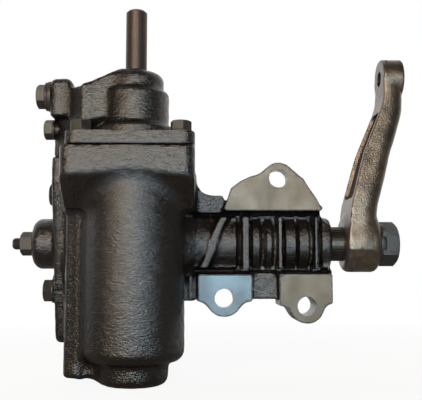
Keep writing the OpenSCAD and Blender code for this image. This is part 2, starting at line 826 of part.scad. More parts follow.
module side_cover() {
    color(cast_black) place_in_frame() difference() {
        union() {
            facing_left(-cover_joint_x - gasket_t - cover_t, cover_t) cover_outline();
            translate([-dome_end_x, 0, 0]) rotate([0, 90, 0]) rotate_extrude($fn = fine)
                polygon(round_outline([[0, 0, 0], [dome_r, 0, dome_corner],
                    [dome_r, dome_end_x - cover_joint_x - gasket_t, 0],
                    [0, dome_end_x - cover_joint_x - gasket_t, 0]]));
            rod_x(-dome_end_x - collar_t, collar_r, collar_t + cut);
            rod_x(-cover_joint_x - gasket_t - cut, chamber_r - pilot_gap, pilot_depth + cut);
        }
        rod_x(-dome_end_x + dome_end_wall, journal_r + free_gap, dome_end_x);
        rod_x(-cover_bearing_x - bearing_l + cut, shell_out_r, dome_end_x);
        rod_x(-dome_end_x - collar_t - cut, screw_r, dome_end_x);
        each_cover_bolt(-cover_joint_x - gasket_t - cover_t - cut)
            cylinder(r = bolt_r + free_gap, h = cover_t + 2 * cut, $fn = small);
    }
}

module side_cover_gasket() {
    color(gasket_grey) place_in_frame() difference() {
        facing_left(-cover_joint_x - gasket_t, gasket_t) cover_outline();
        rod_x(-cover_joint_x - gasket_t - cut, chamber_r, gasket_t + 2 * cut);
        each_cover_bolt(-cover_joint_x - gasket_t - cut)
            cylinder(r = bolt_r + free_gap, h = gasket_t + 2 * cut, $fn = small);
    }
}

// Cover bolts, their heads to the left
module side_cover_bolts() {
    color(dark_steel) place_in_frame() each_cover_bolt(-cover_joint_x - gasket_t - cover_t)
        rotate([180, 0, 30])
            hex_bolt(bolt_r, cover_bolt_af, bolt_head_h + bolt_washer_h, cover_bolt_l - 2 * cut);
}

// Plug of the cross drilling in the side wall of the valve housing
module passage_plug() {
    color(dark_steel) place_in_frame() translate([-arm_left, -passage_plug_y, passage_plug_z])
        rotate([0, -90, 0]) hex_bolt(bolt_r, bolt_af, bolt_head_h + bolt_washer_h, passage_plug_l - cut);
}

// Puts its children on both oil ports, with +Z out of the port
module each_port(out) {
    translate([-arm_left - out, -port_y, port_z]) rotate([0, -90, 0]) children();
    translate([-rear_port_x, -arm_rear + out, rear_port_z]) rotate([-90, 0, 0]) children();
}

module port_plugs() {
    color(dark_steel) place_in_frame() each_port(port_washer_t) union() {
        hex_block(port_plug_af, port_plug_head_h);
        translate([0, 0, -port_washer_t - port_depth / 2 + cut])
            cylinder(r = port_bore_r, h = port_washer_t + port_depth / 2, $fn = small);
    }
}

module port_washers() {
    color(dark_steel) place_in_frame() each_port(0) difference() {
        cylinder(r = port_washer_r, h = port_washer_t, $fn = fine);
        translate([0, 0, -cut]) cylinder(r = port_bore_r, h = port_washer_t + 2 * cut, $fn = small);
    }
}

// Screw that sets the mesh: its head turns freely in the slot of the sector shaft
module adjusting_screw() {
    color(dark_steel) place_in_frame() {
        rod_x(-head_left_x + slot_gap, screw_head_r, screw_head_t);
        rod_x(-screw_tip_x + screw_chamfer, screw_r, screw_tip_x - screw_chamfer - head_left_x + cut);
        translate([-screw_tip_x, 0, 0]) rotate([0, 90, 0])
            cylinder(r1 = screw_r - screw_chamfer, r2 = screw_r, h = screw_chamfer, $fn = small);
    }
}

module adjusting_shim() {
    color(bright_steel) place_in_frame()
        rod_x(-head_left_x + slot_gap + screw_head_t, screw_head_r, shim_t);
}

module lock_nut() {
    color(dark_steel) place_in_frame() difference() {
        translate([-dome_end_x - collar_t, 0, 0]) rotate([0, -90, 0]) hex_block(lock_nut_af, lock_nut_t);
        rod_x(-screw_tip_x, screw_r, screw_tip_x);
    }
}

// Drawn cup of a needle bearing, with lips that keep the needles in
module needle_shell(x) {
    ring_x(x, shell_out_r, shell_in_r, bearing_l);
    for (end = [x, x + bearing_l - shell_t]) ring_x(end, shell_out_r, shell_in_r - needle_r, shell_t);
}

module needle_row(x) {
    for (i = [0 : needle_count - 1])
        rotate([360 * i / needle_count, 0, 0])
            translate([x + (bearing_l - needle_l) / 2, 0, journal_r + fit_gap + needle_r])
                rotate([0, 90, 0]) cylinder(r = needle_r, h = needle_l, $fn = small);
}

module cover_bearing_shell() {
    color(bright_steel) place_in_frame() needle_shell(-cover_bearing_x - bearing_l + cut);
}

module cover_bearing_needles() {
    color(bright_steel) place_in_frame() needle_row(-cover_bearing_x - bearing_l + cut);
}

module tube_bearing_shells() {
    color(bright_steel) place_in_frame() {
        needle_shell(inner_bearing_x);
        needle_shell(outer_bearing_x);
    }
}

module tube_bearing_needles() {
    color(bright_steel) place_in_frame() {
        needle_row(inner_bearing_x);
        needle_row(outer_bearing_x);
    }
}

// Lip seal: a case with a waist, and a thin lip against the shaft
module sector_oil_seal() {
    lip_r = journal_r + seal_lip_gap;
    case_r = shell_in_r - needle_r;
    color(seal_black) place_in_frame() translate([oil_seal_x, 0, 0]) rotate([0, 90, 0])
        rotate_extrude($fn = fine) polygon([
            [lip_r, 0], [lip_r + shell_t, 0], [case_r, oil_seal_t / 2], [case_r, 0],
            [shell_out_r, 0], [shell_out_r, oil_seal_t], [lip_r + shell_t, oil_seal_t],
            [lip_r + shell_t, oil_seal_t / 2]]);
}

module sector_seal_washer() {
    color(bright_steel) place_in_frame()
        ring_x(oil_seal_x + oil_seal_t, shell_out_r, journal_r + free_gap, seal_washer_t);
}

// Open snap ring in its groove at the mouth of the tube
module sector_snap_ring() {
    color(bright_steel) place_in_frame() difference() {
        ring_x(snap_ring_x, shell_out_r + snap_groove, shell_out_r - shell_t, snap_ring_t);
        translate([snap_ring_x - cut, -snap_opening / 2, 0])
            cube([snap_ring_t + 2 * cut, snap_opening, 2 * shell_out_r]);
    }
}

module sector_dust_seal() {
    x = snap_ring_x + snap_ring_t;
    color(seal_black) place_in_frame() ring_x(x, shell_out_r, journal_r + seal_lip_gap, tube_end_x - x);
}

// Involute sector teeth
function involute(a) = (tan(a) - a * PI / 180) * 180 / PI;
pitch_half_angle = tooth_angle / 4 - flank_gap / 2 / sector_pitch_r * 180 / PI;
function half_angle(r) = pitch_half_angle + involute(pressure_angle) - involute(acos(base_r / r));
function on_circle(r, a) = [r * cos(a), r * sin(a)];
function flank_r(i) = base_r + (sector_tip_r - base_r) * i / involute_steps;
function tooth_points(a) = concat(
    [on_circle(sector_root_r, a - half_angle(base_r))],
    [for (i = [0 : involute_steps]) on_circle(flank_r(i), a - half_angle(flank_r(i)))],
    [for (i = [involute_steps : -1 : 0]) on_circle(flank_r(i), a + half_angle(flank_r(i)))],
    [on_circle(sector_root_r, a + half_angle(base_r))]);
first_tooth = -(tooth_count - 1) / 2;

module sector_outline() {
    polygon(concat([[0, 0]], [for (i = [0 : tooth_count - 1])
        each tooth_points(180 + tooth_angle * (first_tooth + i))]));
    circle(sector_hub_r, $fn = fine);
}

// Serrations cut along a round end
module serration_cuts(x, r, l) {
    for (i = [0 : serration_count - 1]) rotate([360 * i / serration_count, 0, 0])
        translate([x, 0, r - serration_depth]) rotate([0, 90, 0]) rotate([0, 0, 180])
            cylinder(r = 2 * serration_depth, h = l, $fn = 3);
}

module sector_shaft() {
    color(bright_steel) place_in_frame() difference() {
        union() {
            facing_left(-sector_w / 2, sector_w) sector_outline();
            rod_x(-sector_left_x, journal_r, sector_left_x + tube_end_x);
            difference() {
                rod_x(tube_end_x, serration_r, hub_x - tube_end_x);
                serration_cuts(serration_start_x, serration_r, hub_x - serration_start_x + cut);
            }
            hub_taper(0);
            rod_x(hub_x, nut_thread_r, sector_end_x - hub_x);
        }
        translate([-sector_left_x - cut, -screw_r - free_gap, -journal_r - cut])
            cube([slot_lip + 2 * cut, 2 * (screw_r + free_gap), journal_r + screw_r + free_gap + cut]);
        translate([-head_left_x, -screw_head_r - free_gap, -journal_r - cut])
            cube([head_room, 2 * (screw_head_r + free_gap), journal_r + screw_head_r + free_gap + cut]);
    }
}

// Tapered fit of the shaft in the hub of the arm
module hub_taper(extra) {
    translate([hub_x - extra, 0, 0]) rotate([0, 90, 0])
        cylinder(r1 = serration_r - serration_depth + extra * hub_taper_share,
            r2 = serration_r - serration_depth - (hub_w + extra) * hub_taper_share,
            h = hub_w + 2 * extra, $fn = fine);
}

// Near side of the shank in front view: shares of the reach to the eye and of the arm's length
shank_near = [for (p = shank_near_shares) [hub_x + p.y * (eye_x - hub_x), p.x * arm_centres]];
function shank_t(z) = shank_hub_t + (shank_eye_t - shank_hub_t) * z / arm_centres;

module shank_front(near_shift, far_share) {
    polygon(concat(
        [for (p = shank_near) [p.x + near_shift, p.y]],
        [for (i = [len(shank_near) - 1 : -1 : 0])
            [shank_near[i].x + shank_t(shank_near[i].y) * far_share, shank_near[i].y]]));
}

module shank_side(inset, start_share, end_share) {
    inside = [for (p = shank_width_shares) [p.y * hub_r - inset, p.x * arm_centres]];
    polygon(round_outline([for (side = [1, -1], i = [0 : len(inside) - 1])
        let (p = side > 0 ? inside[i] : inside[len(inside) - 1 - i])
        [side * p.x, max(start_share * arm_centres, min(end_share * arm_centres, p.y)),
            inset > 0 ? recess_corner / 2 : 0]]));
}

module pitman_arm() {
    color(forged_bronze) place_in_frame() difference() {
        union() {
            translate([hub_x, 0, 0]) rotate([0, 90, 0]) rotate_extrude($fn = fine)
                polygon(round_outline([[0, 0, 0], [hub_r, 0, hub_corner], [hub_r, hub_w, hub_corner],
                    [0, hub_w, 0]]));
            translate([eye_x, 0, arm_centres]) rotate([0, 90, 0]) rotate_extrude($fn = fine)
                polygon(round_outline([[0, 0, 0], [eye_r, 0, hub_corner / 2],
                    [eye_r, eye_w, hub_corner / 2], [0, eye_w, 0]]));
            intersection() {
                facing_front(-hub_r, 2 * hub_r) shank_front(0, 1);
                facing_left(hub_x - cut, eye_x + eye_w - hub_x) shank_side(0, 0, 1);
            }
        }
        intersection() {
            facing_front(-hub_r, 2 * hub_r) translate([recess_depth, 0]) shank_front(-hub_w, 0);
            facing_left(hub_x - hub_w, 2 * (eye_x - hub_x) + hub_w)
                shank_side(recess_wall, recess_start_share, recess_end_share);
        }
        hub_taper(cut);
        translate([eye_x - cut, 0, arm_centres]) rotate([0, 90, 0])
            cylinder(r1 = eye_hole_r - cut * eye_taper_share / 2,
                r2 = eye_hole_r + (eye_w + cut) * eye_taper_share / 2, h = eye_w + 2 * cut, $fn = fine);
    }
}

module pitman_washer() {
    color(dark_steel) place_in_frame()
        ring_x(hub_x + hub_w, washer_r, nut_thread_r + thread_bore_gap, washer_t);
}

module pitman_nut() {
    color(dark_steel) place_in_frame() translate([hub_x + hub_w + washer_t, 0, 0]) rotate([0, 90, 0])
        difference() {
            union() {
                cylinder(r = pitman_nut_collar_r, h = pitman_nut_collar_t, $fn = fine);
                hex_block(pitman_nut_af, pitman_nut_t);
            }
            translate([0, 0, -cut]) cylinder(r = nut_thread_r, h = pitman_nut_t + 2 * cut, $fn = fine);
        }
}

// Helical groove: rings of points along the path of the ball centres
function groove_ring(turn, r) = [for (k = [0 : groove_sides - 1])
    let (a = 360 * k / groove_sides)
    let (out = ball_path_r + r * cos(a))
    [out * cos(360 * turn), out * sin(360 * turn), helix_zero + worm_lead * turn + r * sin(a)]];

module helix_groove(from, to, r) {
    n = ceil((to - from) * groove_steps);
    points = [for (i = [0 : n]) each groove_ring(from + (to - from) * i / n, r)];
    sides = [for (i = [0 : n - 1], k = [0 : groove_sides - 1])
        let (a = i * groove_sides + k)
        let (b = i * groove_sides + (k + 1) % groove_sides)
        each [[a, b, b + groove_sides], [a, b + groove_sides, a + groove_sides]]];
    first = [for (k = [groove_sides - 1 : -1 : 0]) k];
    last = [for (k = [0 : groove_sides - 1]) n * groove_sides + k];
    polyhedron(points, concat([first], sides, [last]));
}

groove_end = groove_start + nut_turns;
function groove_z(turn) = helix_zero + worm_lead * turn;

// Space between two rack teeth, in Y and Z
module rack_space() {
    function half_w(d) = tooth_pitch / 4 + flank_gap / 2 + d * tan(pressure_angle);
    polygon([
        [-sector_pitch_r - tooth_dedendum, -half_w(-tooth_dedendum)],
        [-sector_pitch_r - tooth_dedendum, half_w(-tooth_dedendum)],
        [-sector_pitch_r + tooth_addendum + cut, half_w(tooth_addendum + cut)],
        [-sector_pitch_r + tooth_addendum + cut, -half_w(tooth_addendum + cut)]]);
}

module power_piston() {
    color(bright_steel) place_in_frame() difference() {
        on_worm_axis(-piston_bottom) cylinder(r = piston_r, h = piston_bottom + piston_top, $fn = fine);
        on_worm_axis(nut_bore_bottom)
            cylinder(r = nut_bore_r, h = piston_top - nut_bore_bottom + cut, $fn = fine);
        translate([-piston_r, -sector_pitch_r + tooth_addendum, -rack_half])
            cube([2 * piston_r, piston_r, 2 * rack_half]);
        for (i = [0 : tooth_count - 1]) translate([0, 0, tooth_pitch * (first_tooth + i)])
            facing_left(-piston_r, 2 * piston_r) rack_space();
        on_worm_axis(ring_z - ring_w / 2)
            tube(piston_r + cut, piston_r - ring_depth, ring_w);
        on_worm_axis() {
            helix_groove(groove_start, groove_end, groove_r);
            translate([-pocket_half_w, -piston_r - cut, nut_mid_z - pocket_half_l])
                cube([2 * pocket_half_w, piston_r + cut - pocket_offset, 2 * pocket_half_l]);
            guide_legs(guide_bore_r, nut_bore_r - cut, pocket_offset + cut);
            guide_legs(guide_tube_r, guide_seat_r, pocket_offset + cut);
            for (side = [-1, 1]) translate([side * clamp_screw_x, -pocket_offset + cut, nut_mid_z])
                rotate([90, 0, 0]) translate([0, 0, -clamp_screw_l])
                    cylinder(r = clamp_screw_r, h = clamp_screw_l + cut, $fn = small);
        }
    }
}

// Both legs of the ball guide, along -Y from one distance to another
module guide_legs(r, from, to) {
    for (turn = [groove_start, groove_end]) translate([0, -from, groove_z(turn)])
        rotate([90, 0, 0]) cylinder(r = r, h = to - from, $fn = small);
}

module guide_path(r) {
    guide_legs(r, guide_seat_r, guide_offset);
    translate([0, -guide_offset, groove_z(groove_start)])
        cylinder(r = r, h = groove_z(groove_end) - groove_z(groove_start), $fn = small);
    for (turn = [groove_start, groove_end])
        translate([0, -guide_offset, groove_z(turn)]) sphere(r = r, $fn = small);
}

module piston_ring() {
    color(seal_black) place_in_frame() on_worm_axis(ring_z - ring_w / 2)
        tube(cylinder_bore_r - fit_gap, piston_r - ring_depth, ring_w);
}

balls_in_nut = floor(nut_turns * 2 * PI * ball_path_r / ball_spacing);
balls_in_guide = floor((groove_z(groove_end) - groove_z(groove_start)) / ball_spacing);

module recirculating_balls() {
    color(bright_steel) place_in_frame() on_worm_axis() {
        for (i = [0 : balls_in_nut - 1])
            let (turn = groove_start + nut_turns * (i + 1 / 2) / balls_in_nut)
            rotate([0, 0, 360 * turn]) translate([ball_path_r, 0, groove_z(turn)])
                sphere(d = ball_d, $fn = small);
        for (i = [0 : balls_in_guide - 1])
            translate([0, -guide_offset, groove_z(groove_start) + ball_spacing * (i + 1 / 2)])
                sphere(d = ball_d, $fn = small);
    }
}

module ball_return_guide() {
    color(bright_steel) place_in_frame() on_worm_axis() difference() {
        guide_path(guide_tube_r);
        guide_path(guide_bore_r);
        guide_legs(guide_bore_r, guide_seat_r - cut, guide_offset);
    }
}

clamp_half_w = guide_tube_r + clamp_t;
clamp_screw_x = clamp_half_w + clamp_screw_head_r + 0.6;

// Strap over the ball guide, with a foot on each side
module guide_clamp() {
    color(bright_steel) place_in_frame() on_worm_axis() difference() {
        union() {
            translate([-clamp_half_w, -guide_offset - guide_tube_r - clamp_t, nut_mid_z - clamp_w / 2])
                cube([2 * clamp_half_w, guide_offset + guide_tube_r + clamp_t - pocket_offset, clamp_w]);
            translate([-clamp_half_w - clamp_foot, -pocket_offset - clamp_t, nut_mid_z - clamp_w / 2])
                cube([2 * (clamp_half_w + clamp_foot), clamp_t, clamp_w]);
        }
        translate([-guide_tube_r, -guide_offset - guide_tube_r, nut_mid_z - clamp_w / 2 - cut])
            cube([2 * guide_tube_r, guide_offset + guide_tube_r, clamp_w + 2 * cut]);
        for (side = [-1, 1]) translate([side * clamp_screw_x, 0, nut_mid_z]) rotate([90, 0, 0])
            cylinder(r = clamp_screw_r, h = piston_r, $fn = small);
    }
}

module guide_clamp_screws() {
    color(bright_steel) place_in_frame() on_worm_axis() for (side = [-1, 1])
        translate([side * clamp_screw_x, -pocket_offset - clamp_t, nut_mid_z]) rotate([90, 0, 0]) {
            cylinder(r = clamp_screw_head_r, h = clamp_screw_head_h, $fn = small);
            translate([0, 0, -clamp_screw_l])
                cylinder(r = clamp_screw_r, h = clamp_screw_l + cut / 2, $fn = small);
        }
}

// Worm, with the head that its thrust bearings hold and the collar under the valve sleeve
module worm_shaft() {
    reach = travel / worm_lead + worm_run_out;
    slot_half = tongue_half * cos(valve_twist) + tongue_r * sin(valve_twist) + fit_gap;
    color(bright_steel) place_in_frame() on_worm_axis() difference() {
        union() {
            translate([0, 0, worm_bottom]) cylinder(r = worm_r, h = worm_neck_z - worm_bottom, $fn = fine);
            cylinder(r = worm_neck_r, h = worm_head_z + cut, $fn = fine);
            translate([0, 0, worm_head_z]) cylinder(r = worm_head_r, h = worm_head_t, $fn = fine);
            translate([0, 0, worm_head_z])
                cylinder(r = worm_collar_r, h = worm_collar_top - worm_head_z, $fn = fine);
        }
        helix_groove(groove_start - reach, groove_end + reach, groove_r);
        translate([0, 0, bar_bottom - cut])
            cylinder(r = bar_end_r, h = worm_collar_top - bar_bottom + 2 * cut, $fn = fine);
        translate([0, 0, worm_collar_top - socket_depth]) intersection() {
            cylinder(r = tongue_r + socket_gap, h = socket_depth + cut, $fn = fine);
            translate([-tongue_r - cut, -slot_half, 0])
                cube([2 * (tongue_r + cut), 2 * slot_half, socket_depth + cut]);
        }
        translate([-worm_neck_r - cut, 0, bar_bottom + bar_end_l / 2]) rotate([0, 90, 0])
            cylinder(r = pin_r, h = 2 * (worm_neck_r + cut), $fn = small);
        sleeve_pin_path(cut);
    }
}

module sleeve_pin_path(extra) {
    translate([-sleeve_out_r - extra, 0, sleeve_bottom + sleeve_skirt / 2]) rotate([0, 90, 0])
        cylinder(r = sleeve_pin_r, h = sleeve_out_r + extra - tongue_r - socket_gap - cut, $fn = small);
}

function ring_height(i) = worm_collar_top + sleeve_l * (i + 1 / 2) / sleeve_ring_count;

module valve_sleeve() {
    color(bright_steel) place_in_frame() on_worm_axis() difference() {
        translate([0, 0, sleeve_bottom]) cylinder(r = sleeve_out_r, h = sleeve_top - sleeve_bottom, $fn = fine);
        translate([0, 0, sleeve_bottom - cut])
            cylinder(r = worm_collar_r, h = sleeve_skirt + cut, $fn = fine);
        translate([0, 0, sleeve_bottom]) cylinder(r = sleeve_in_r, h = sleeve_top, $fn = fine);
        for (i = [0 : sleeve_ring_count - 1]) translate([0, 0, ring_height(i) - sleeve_ring_w / 2])
            tube(sleeve_out_r + cut, sleeve_out_r - sleeve_ring_depth, sleeve_ring_w);
        for (i = [1 : sleeve_ring_count - 1]) translate([0, 0, ring_height(i - 1 / 2)]) {
            translate([0, 0, -sleeve_port_w / 2])
                tube(sleeve_out_r + cut, sleeve_out_r - sleeve_port_depth, sleeve_port_w);
            for (k = [0 : sleeve_port_count - 1])
                rotate([0, 90, 360 * (k + i / sleeve_ring_count) / sleeve_port_count])
                    cylinder(r = port_hole_r, h = sleeve_out_r + cut, $fn = small);
        }
        sleeve_pin_path(cut);
    }
}

module valve_sleeve_rings() {
    color(seal_black) place_in_frame() on_worm_axis() for (i = [0 : sleeve_ring_count - 1])
        translate([0, 0, ring_height(i) - sleeve_ring_w / 2])
            tube(sleeve_bore_r - fit_gap, sleeve_out_r - sleeve_ring_depth, sleeve_ring_w);
}

module sleeve_pin() {
    color(bright_steel) place_in_frame() on_worm_axis() sleeve_pin_path(0);
}

upper_pin_z = bar_top - bar_end_l / 2;

module torsion_bar() {
    color(bright_steel) place_in_frame() on_worm_axis() difference() {
        union() {
            translate([0, 0, bar_bottom]) cylinder(r = bar_r, h = bar_top - bar_bottom, $fn = fine);
            for (z = [bar_bottom, bar_top - bar_end_l])
                translate([0, 0, z]) cylinder(r = bar_end_r, h = bar_end_l, $fn = fine);
        }
        translate([-bar_end_r - cut, 0, bar_bottom + bar_end_l / 2]) rotate([0, 90, 0])
            cylinder(r = pin_r, h = 2 * (bar_end_r + cut), $fn = small);
        translate([-bar_end_r - cut, 0, upper_pin_z]) rotate([0, 90, 0])
            cylinder(r = pin_r + bar_end_r * sin(valve_twist) + 2 * fit_gap, h = 2 * (bar_end_r + cut),
                $fn = small);
    }
}

module lower_torsion_pin() {
    color(bright_steel) place_in_frame() on_worm_axis(bar_bottom + bar_end_l / 2)
        translate([-worm_neck_r, 0, 0]) rotate([0, 90, 0])
            cylinder(r = pin_r, h = 2 * worm_neck_r, $fn = small);
}

module upper_torsion_pin() {
    color(bright_steel) place_in_frame() on_worm_axis(upper_pin_z)
        translate([-pin_half_l, 0, 0]) rotate([0, 90, 0]) cylinder(r = pin_r, h = 2 * pin_half_l, $fn = small);
}

pin_half_l = input_r;
spool_bottom = worm_collar_top + socket_gap;

// Input shaft, with the spool of the rotary valve and the tongue that limits its twist
module input_shaft() {
    color(dark_steel) place_in_frame() on_worm_axis() difference() {
        union() {
            translate([0, 0, spool_bottom]) cylinder(r = spool_r, h = sleeve_top - spool_bottom, $fn = fine);
            translate([0, 0, spool_bottom])
                cylinder(r = input_journal_r, h = input_step_z - spool_bottom, $fn = fine);
            translate([0, 0, input_step_z - cut])
                cylinder(r = input_r, h = input_tip_z - input_chamfer - input_step_z + cut, $fn = fine);
            translate([0, 0, input_tip_z - input_chamfer])
                cylinder(r1 = input_r, r2 = input_r - input_chamfer, h = input_chamfer, $fn = fine);
            translate([0, 0, spool_bottom - tongue_l]) intersection() {
                cylinder(r = tongue_r, h = tongue_l + cut, $fn = fine);
                translate([-tongue_r, -tongue_half, 0]) cube([2 * tongue_r, 2 * tongue_half, tongue_l + cut]);
            }
        }
        translate([0, 0, spool_bottom - tongue_l - cut])
            cylinder(r = bar_end_r + fit_gap, h = bar_top - spool_bottom + tongue_l + 2 * cut, $fn = fine);
        for (i = [0 : spool_slots - 1]) rotate([0, 0, 360 * i / spool_slots])
            translate([spool_r - spool_slot_depth, -spool_slot_w / 2,
                (spool_bottom + sleeve_top - spool_slot_l) / 2])
                cube([2 * spool_slot_depth, spool_slot_w, spool_slot_l]);
        translate([-input_journal_r - cut, 0, upper_pin_z]) rotate([0, 90, 0])
            cylinder(r = pin_r, h = 2 * (input_journal_r + cut), $fn = small);
    }
}

module input_bearing_inner() {
    color(bright_steel) place_in_frame() on_worm_axis(input_bearing_z)
        tube(input_journal_r + input_race_t, input_journal_r, input_bearing_t);
}

module input_bearing_outer() {
    color(bright_steel) place_in_frame() on_worm_axis(input_bearing_z)
        tube(input_bearing_r, input_bearing_r - input_race_t, input_bearing_t);
}

module input_bearing_balls() {
    inner = input_journal_r + input_race_t;
    outer = input_bearing_r - input_race_t;
    color(bright_steel) place_in_frame() on_worm_axis(input_bearing_z + input_bearing_t / 2)
        for (i = [0 : input_ball_count - 1]) rotate([0, 0, 360 * i / input_ball_count])
            translate([(inner + outer) / 2, 0, 0])
                sphere(r = (outer - inner) / 2 - input_ball_gap, $fn = small);
}

module input_snap_ring() {
    color(bright_steel) place_in_frame() on_worm_axis(input_bearing_z + input_bearing_t) difference() {
        tube(input_bearing_r + input_snap_depth, input_bearing_r - input_snap_w, input_snap_t);
        translate([0, -snap_opening / 2, -cut])
            cube([2 * input_bearing_r, snap_opening, input_snap_t + 2 * cut]);
    }
}

module input_oil_seal() {
    lip_r = input_journal_r + seal_lip_gap;
    color(seal_black) place_in_frame() on_worm_axis(input_seal_z) rotate_extrude($fn = fine)
        polygon([
            [lip_r, 0], [lip_r + shell_t, 0], [input_bearing_r - input_snap_w, input_seal_t / 2],
            [input_bearing_r - input_snap_w, 0], [input_bearing_r, 0],
            [input_bearing_r, input_seal_t], [lip_r + shell_t, input_seal_t],
            [lip_r + shell_t, input_seal_t / 2]]);
}

// Rubber cover pressed into the mouth of the neck
module input_dust_cover() {
    lip_r = input_journal_r + seal_lip_gap;
    color(seal_black) place_in_frame() on_worm_axis(input_seal_z + input_seal_t)
        rotate_extrude($fn = fine) polygon([
            [lip_r, 0], [input_bearing_r, 0],
            [input_bearing_r, dust_cover_t / 2], [lip_r + dust_cover_flare, dust_cover_t],
            [lip_r, dust_cover_t]]);
}

module bearing_retainer() {
    color(bright_steel) place_in_frame() on_worm_axis(pilot_bottom)
        tube(bearing_bore_r, retainer_in_r, retainer_t);
}

lower_thrust_z = worm_head_z - thrust_t;
upper_thrust_z = worm_head_z + worm_head_t;

module race(z) {
    on_worm_axis(z) tube(race_out_r, race_in_r, race_t);
}

module thrust_fixed_races() {
    color(bright_steel) place_in_frame() {
        race(lower_thrust_z);
        race(upper_thrust_z + thrust_t - race_t);
    }
}

module thrust_turning_races() {
    color(bright_steel) place_in_frame() {
        race(worm_head_z - race_t);
        race(upper_thrust_z);
    }
}

module thrust_balls() {
    color(bright_steel) place_in_frame()
        for (z = [lower_thrust_z, upper_thrust_z], i = [0 : thrust_ball_count - 1])
            on_worm_axis(z + thrust_t / 2) rotate([0, 0, 360 * i / thrust_ball_count])
                translate([(race_in_r + race_out_r) / 2, 0, 0]) sphere(r = thrust_ball_r, $fn = small);
}

gear_housing();
valve_housing();
valve_housing_bolts();
valve_housing_seals();
side_cover();
side_cover_gasket();
side_cover_bolts();
passage_plug();
port_plugs();
port_washers();
adjusting_screw();
adjusting_shim();
lock_nut();
cover_bearing_shell();
cover_bearing_needles();
tube_bearing_shells();
tube_bearing_needles();
sector_oil_seal();
sector_seal_washer();
sector_snap_ring();
sector_dust_seal();
sector_shaft();
pitman_arm();
pitman_washer();
pitman_nut();
power_piston();
piston_ring();
recirculating_balls();
ball_return_guide();
guide_clamp();
guide_clamp_screws();
worm_shaft();
valve_sleeve();
valve_sleeve_rings();
sleeve_pin();
torsion_bar();
lower_torsion_pin();
upper_torsion_pin();
input_shaft();
input_bearing_inner();
input_bearing_outer();
input_bearing_balls();
input_oil_seal();
input_snap_ring();
input_dust_cover();
bearing_retainer();
thrust_fixed_races();
thrust_turning_races();
thrust_balls();
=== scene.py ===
"""Looks of a power steering gearbox with its pitman arm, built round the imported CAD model.

The castings and the forged arm are distance functions in millimetres about the gear centre, where
the worm axis passes in front of the sector axis. skin() turns one into a closed mesh, with crisp
machined edges and soft cast fillets, and moves it to the frame of the CAD model, in metres.
"""
import json
import math

import bmesh
import bpy
import numpy as np
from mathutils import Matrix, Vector


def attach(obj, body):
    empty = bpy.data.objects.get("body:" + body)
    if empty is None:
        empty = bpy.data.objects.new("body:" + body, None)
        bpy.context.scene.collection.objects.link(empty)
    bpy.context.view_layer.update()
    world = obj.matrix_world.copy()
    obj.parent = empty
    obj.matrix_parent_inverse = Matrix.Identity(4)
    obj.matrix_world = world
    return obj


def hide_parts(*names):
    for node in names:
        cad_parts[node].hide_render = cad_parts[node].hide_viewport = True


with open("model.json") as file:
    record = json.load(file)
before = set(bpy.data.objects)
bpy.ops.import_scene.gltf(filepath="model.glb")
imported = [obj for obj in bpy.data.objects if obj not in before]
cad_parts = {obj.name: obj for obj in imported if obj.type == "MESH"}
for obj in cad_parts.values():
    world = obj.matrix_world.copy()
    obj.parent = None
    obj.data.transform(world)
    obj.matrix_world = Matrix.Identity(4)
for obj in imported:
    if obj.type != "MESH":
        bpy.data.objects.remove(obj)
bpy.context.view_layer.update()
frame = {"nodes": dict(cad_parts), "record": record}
nodes = frame["nodes"]

MM = 0.001
GEAR_CENTRE = np.array([-112.7, 27.0, -51.9])  # in the frame of the CAD model, in mm
WORM_Y = -51.0
SHARP_ANGLE = math.radians(34)


# Distance functions: each takes arrays x, y, z in mm, and is negative inside the metal

def blend(a, b, k):
    """Smooth least of two distances: a quadratic fillet of about radius k joins them."""
    share = np.clip(0.5 + 0.5 * (b - a) / k, 0, 1)
    return b * (1 - share) + a * share - k * share * (1 - share)


def common(a, b, k=0.0):
    """Greatest of two distances, with the edge between them rounded by about k."""
    return -blend(-a, -b, k) if k else np.maximum(a, b)


def cut_out(a, b, k=0.0):
    """Solid a without solid b, with the rim rounded by about k."""
    return common(a, -b, k)


def slab(v, low, high):
    """Distance to the space between two planes across v."""
    return np.maximum(low - v, v - high)


def rounded_rod(r, s, radius, low, high, corner):
    """Rod of a radius between two planes across s, its rims rounded by corner."""
    out_r = r - (radius - corner)
    out_s = slab(s, low + corner, high - corner)
    outside = np.sqrt(np.maximum(out_r, 0) ** 2 + np.maximum(out_s, 0) ** 2)
    return outside + np.minimum(np.maximum(out_r, out_s), 0) - corner


def rod(r, s, radius, low, high):
    """Rod with sharp rims."""
    return np.maximum(r - radius, slab(s, low, high))


def rounded_box(x, y, z, low, high, corner):
    """Box between two corners, its edges rounded by corner."""
    outs = [slab(v, a + corner, b - corner) for v, a, b in zip((x, y, z), low, high)]
    outside = np.sqrt(sum(np.maximum(o, 0) ** 2 for o in outs))
    return outside + np.minimum(np.maximum(np.maximum(outs[0], outs[1]), outs[2]), 0) - corner


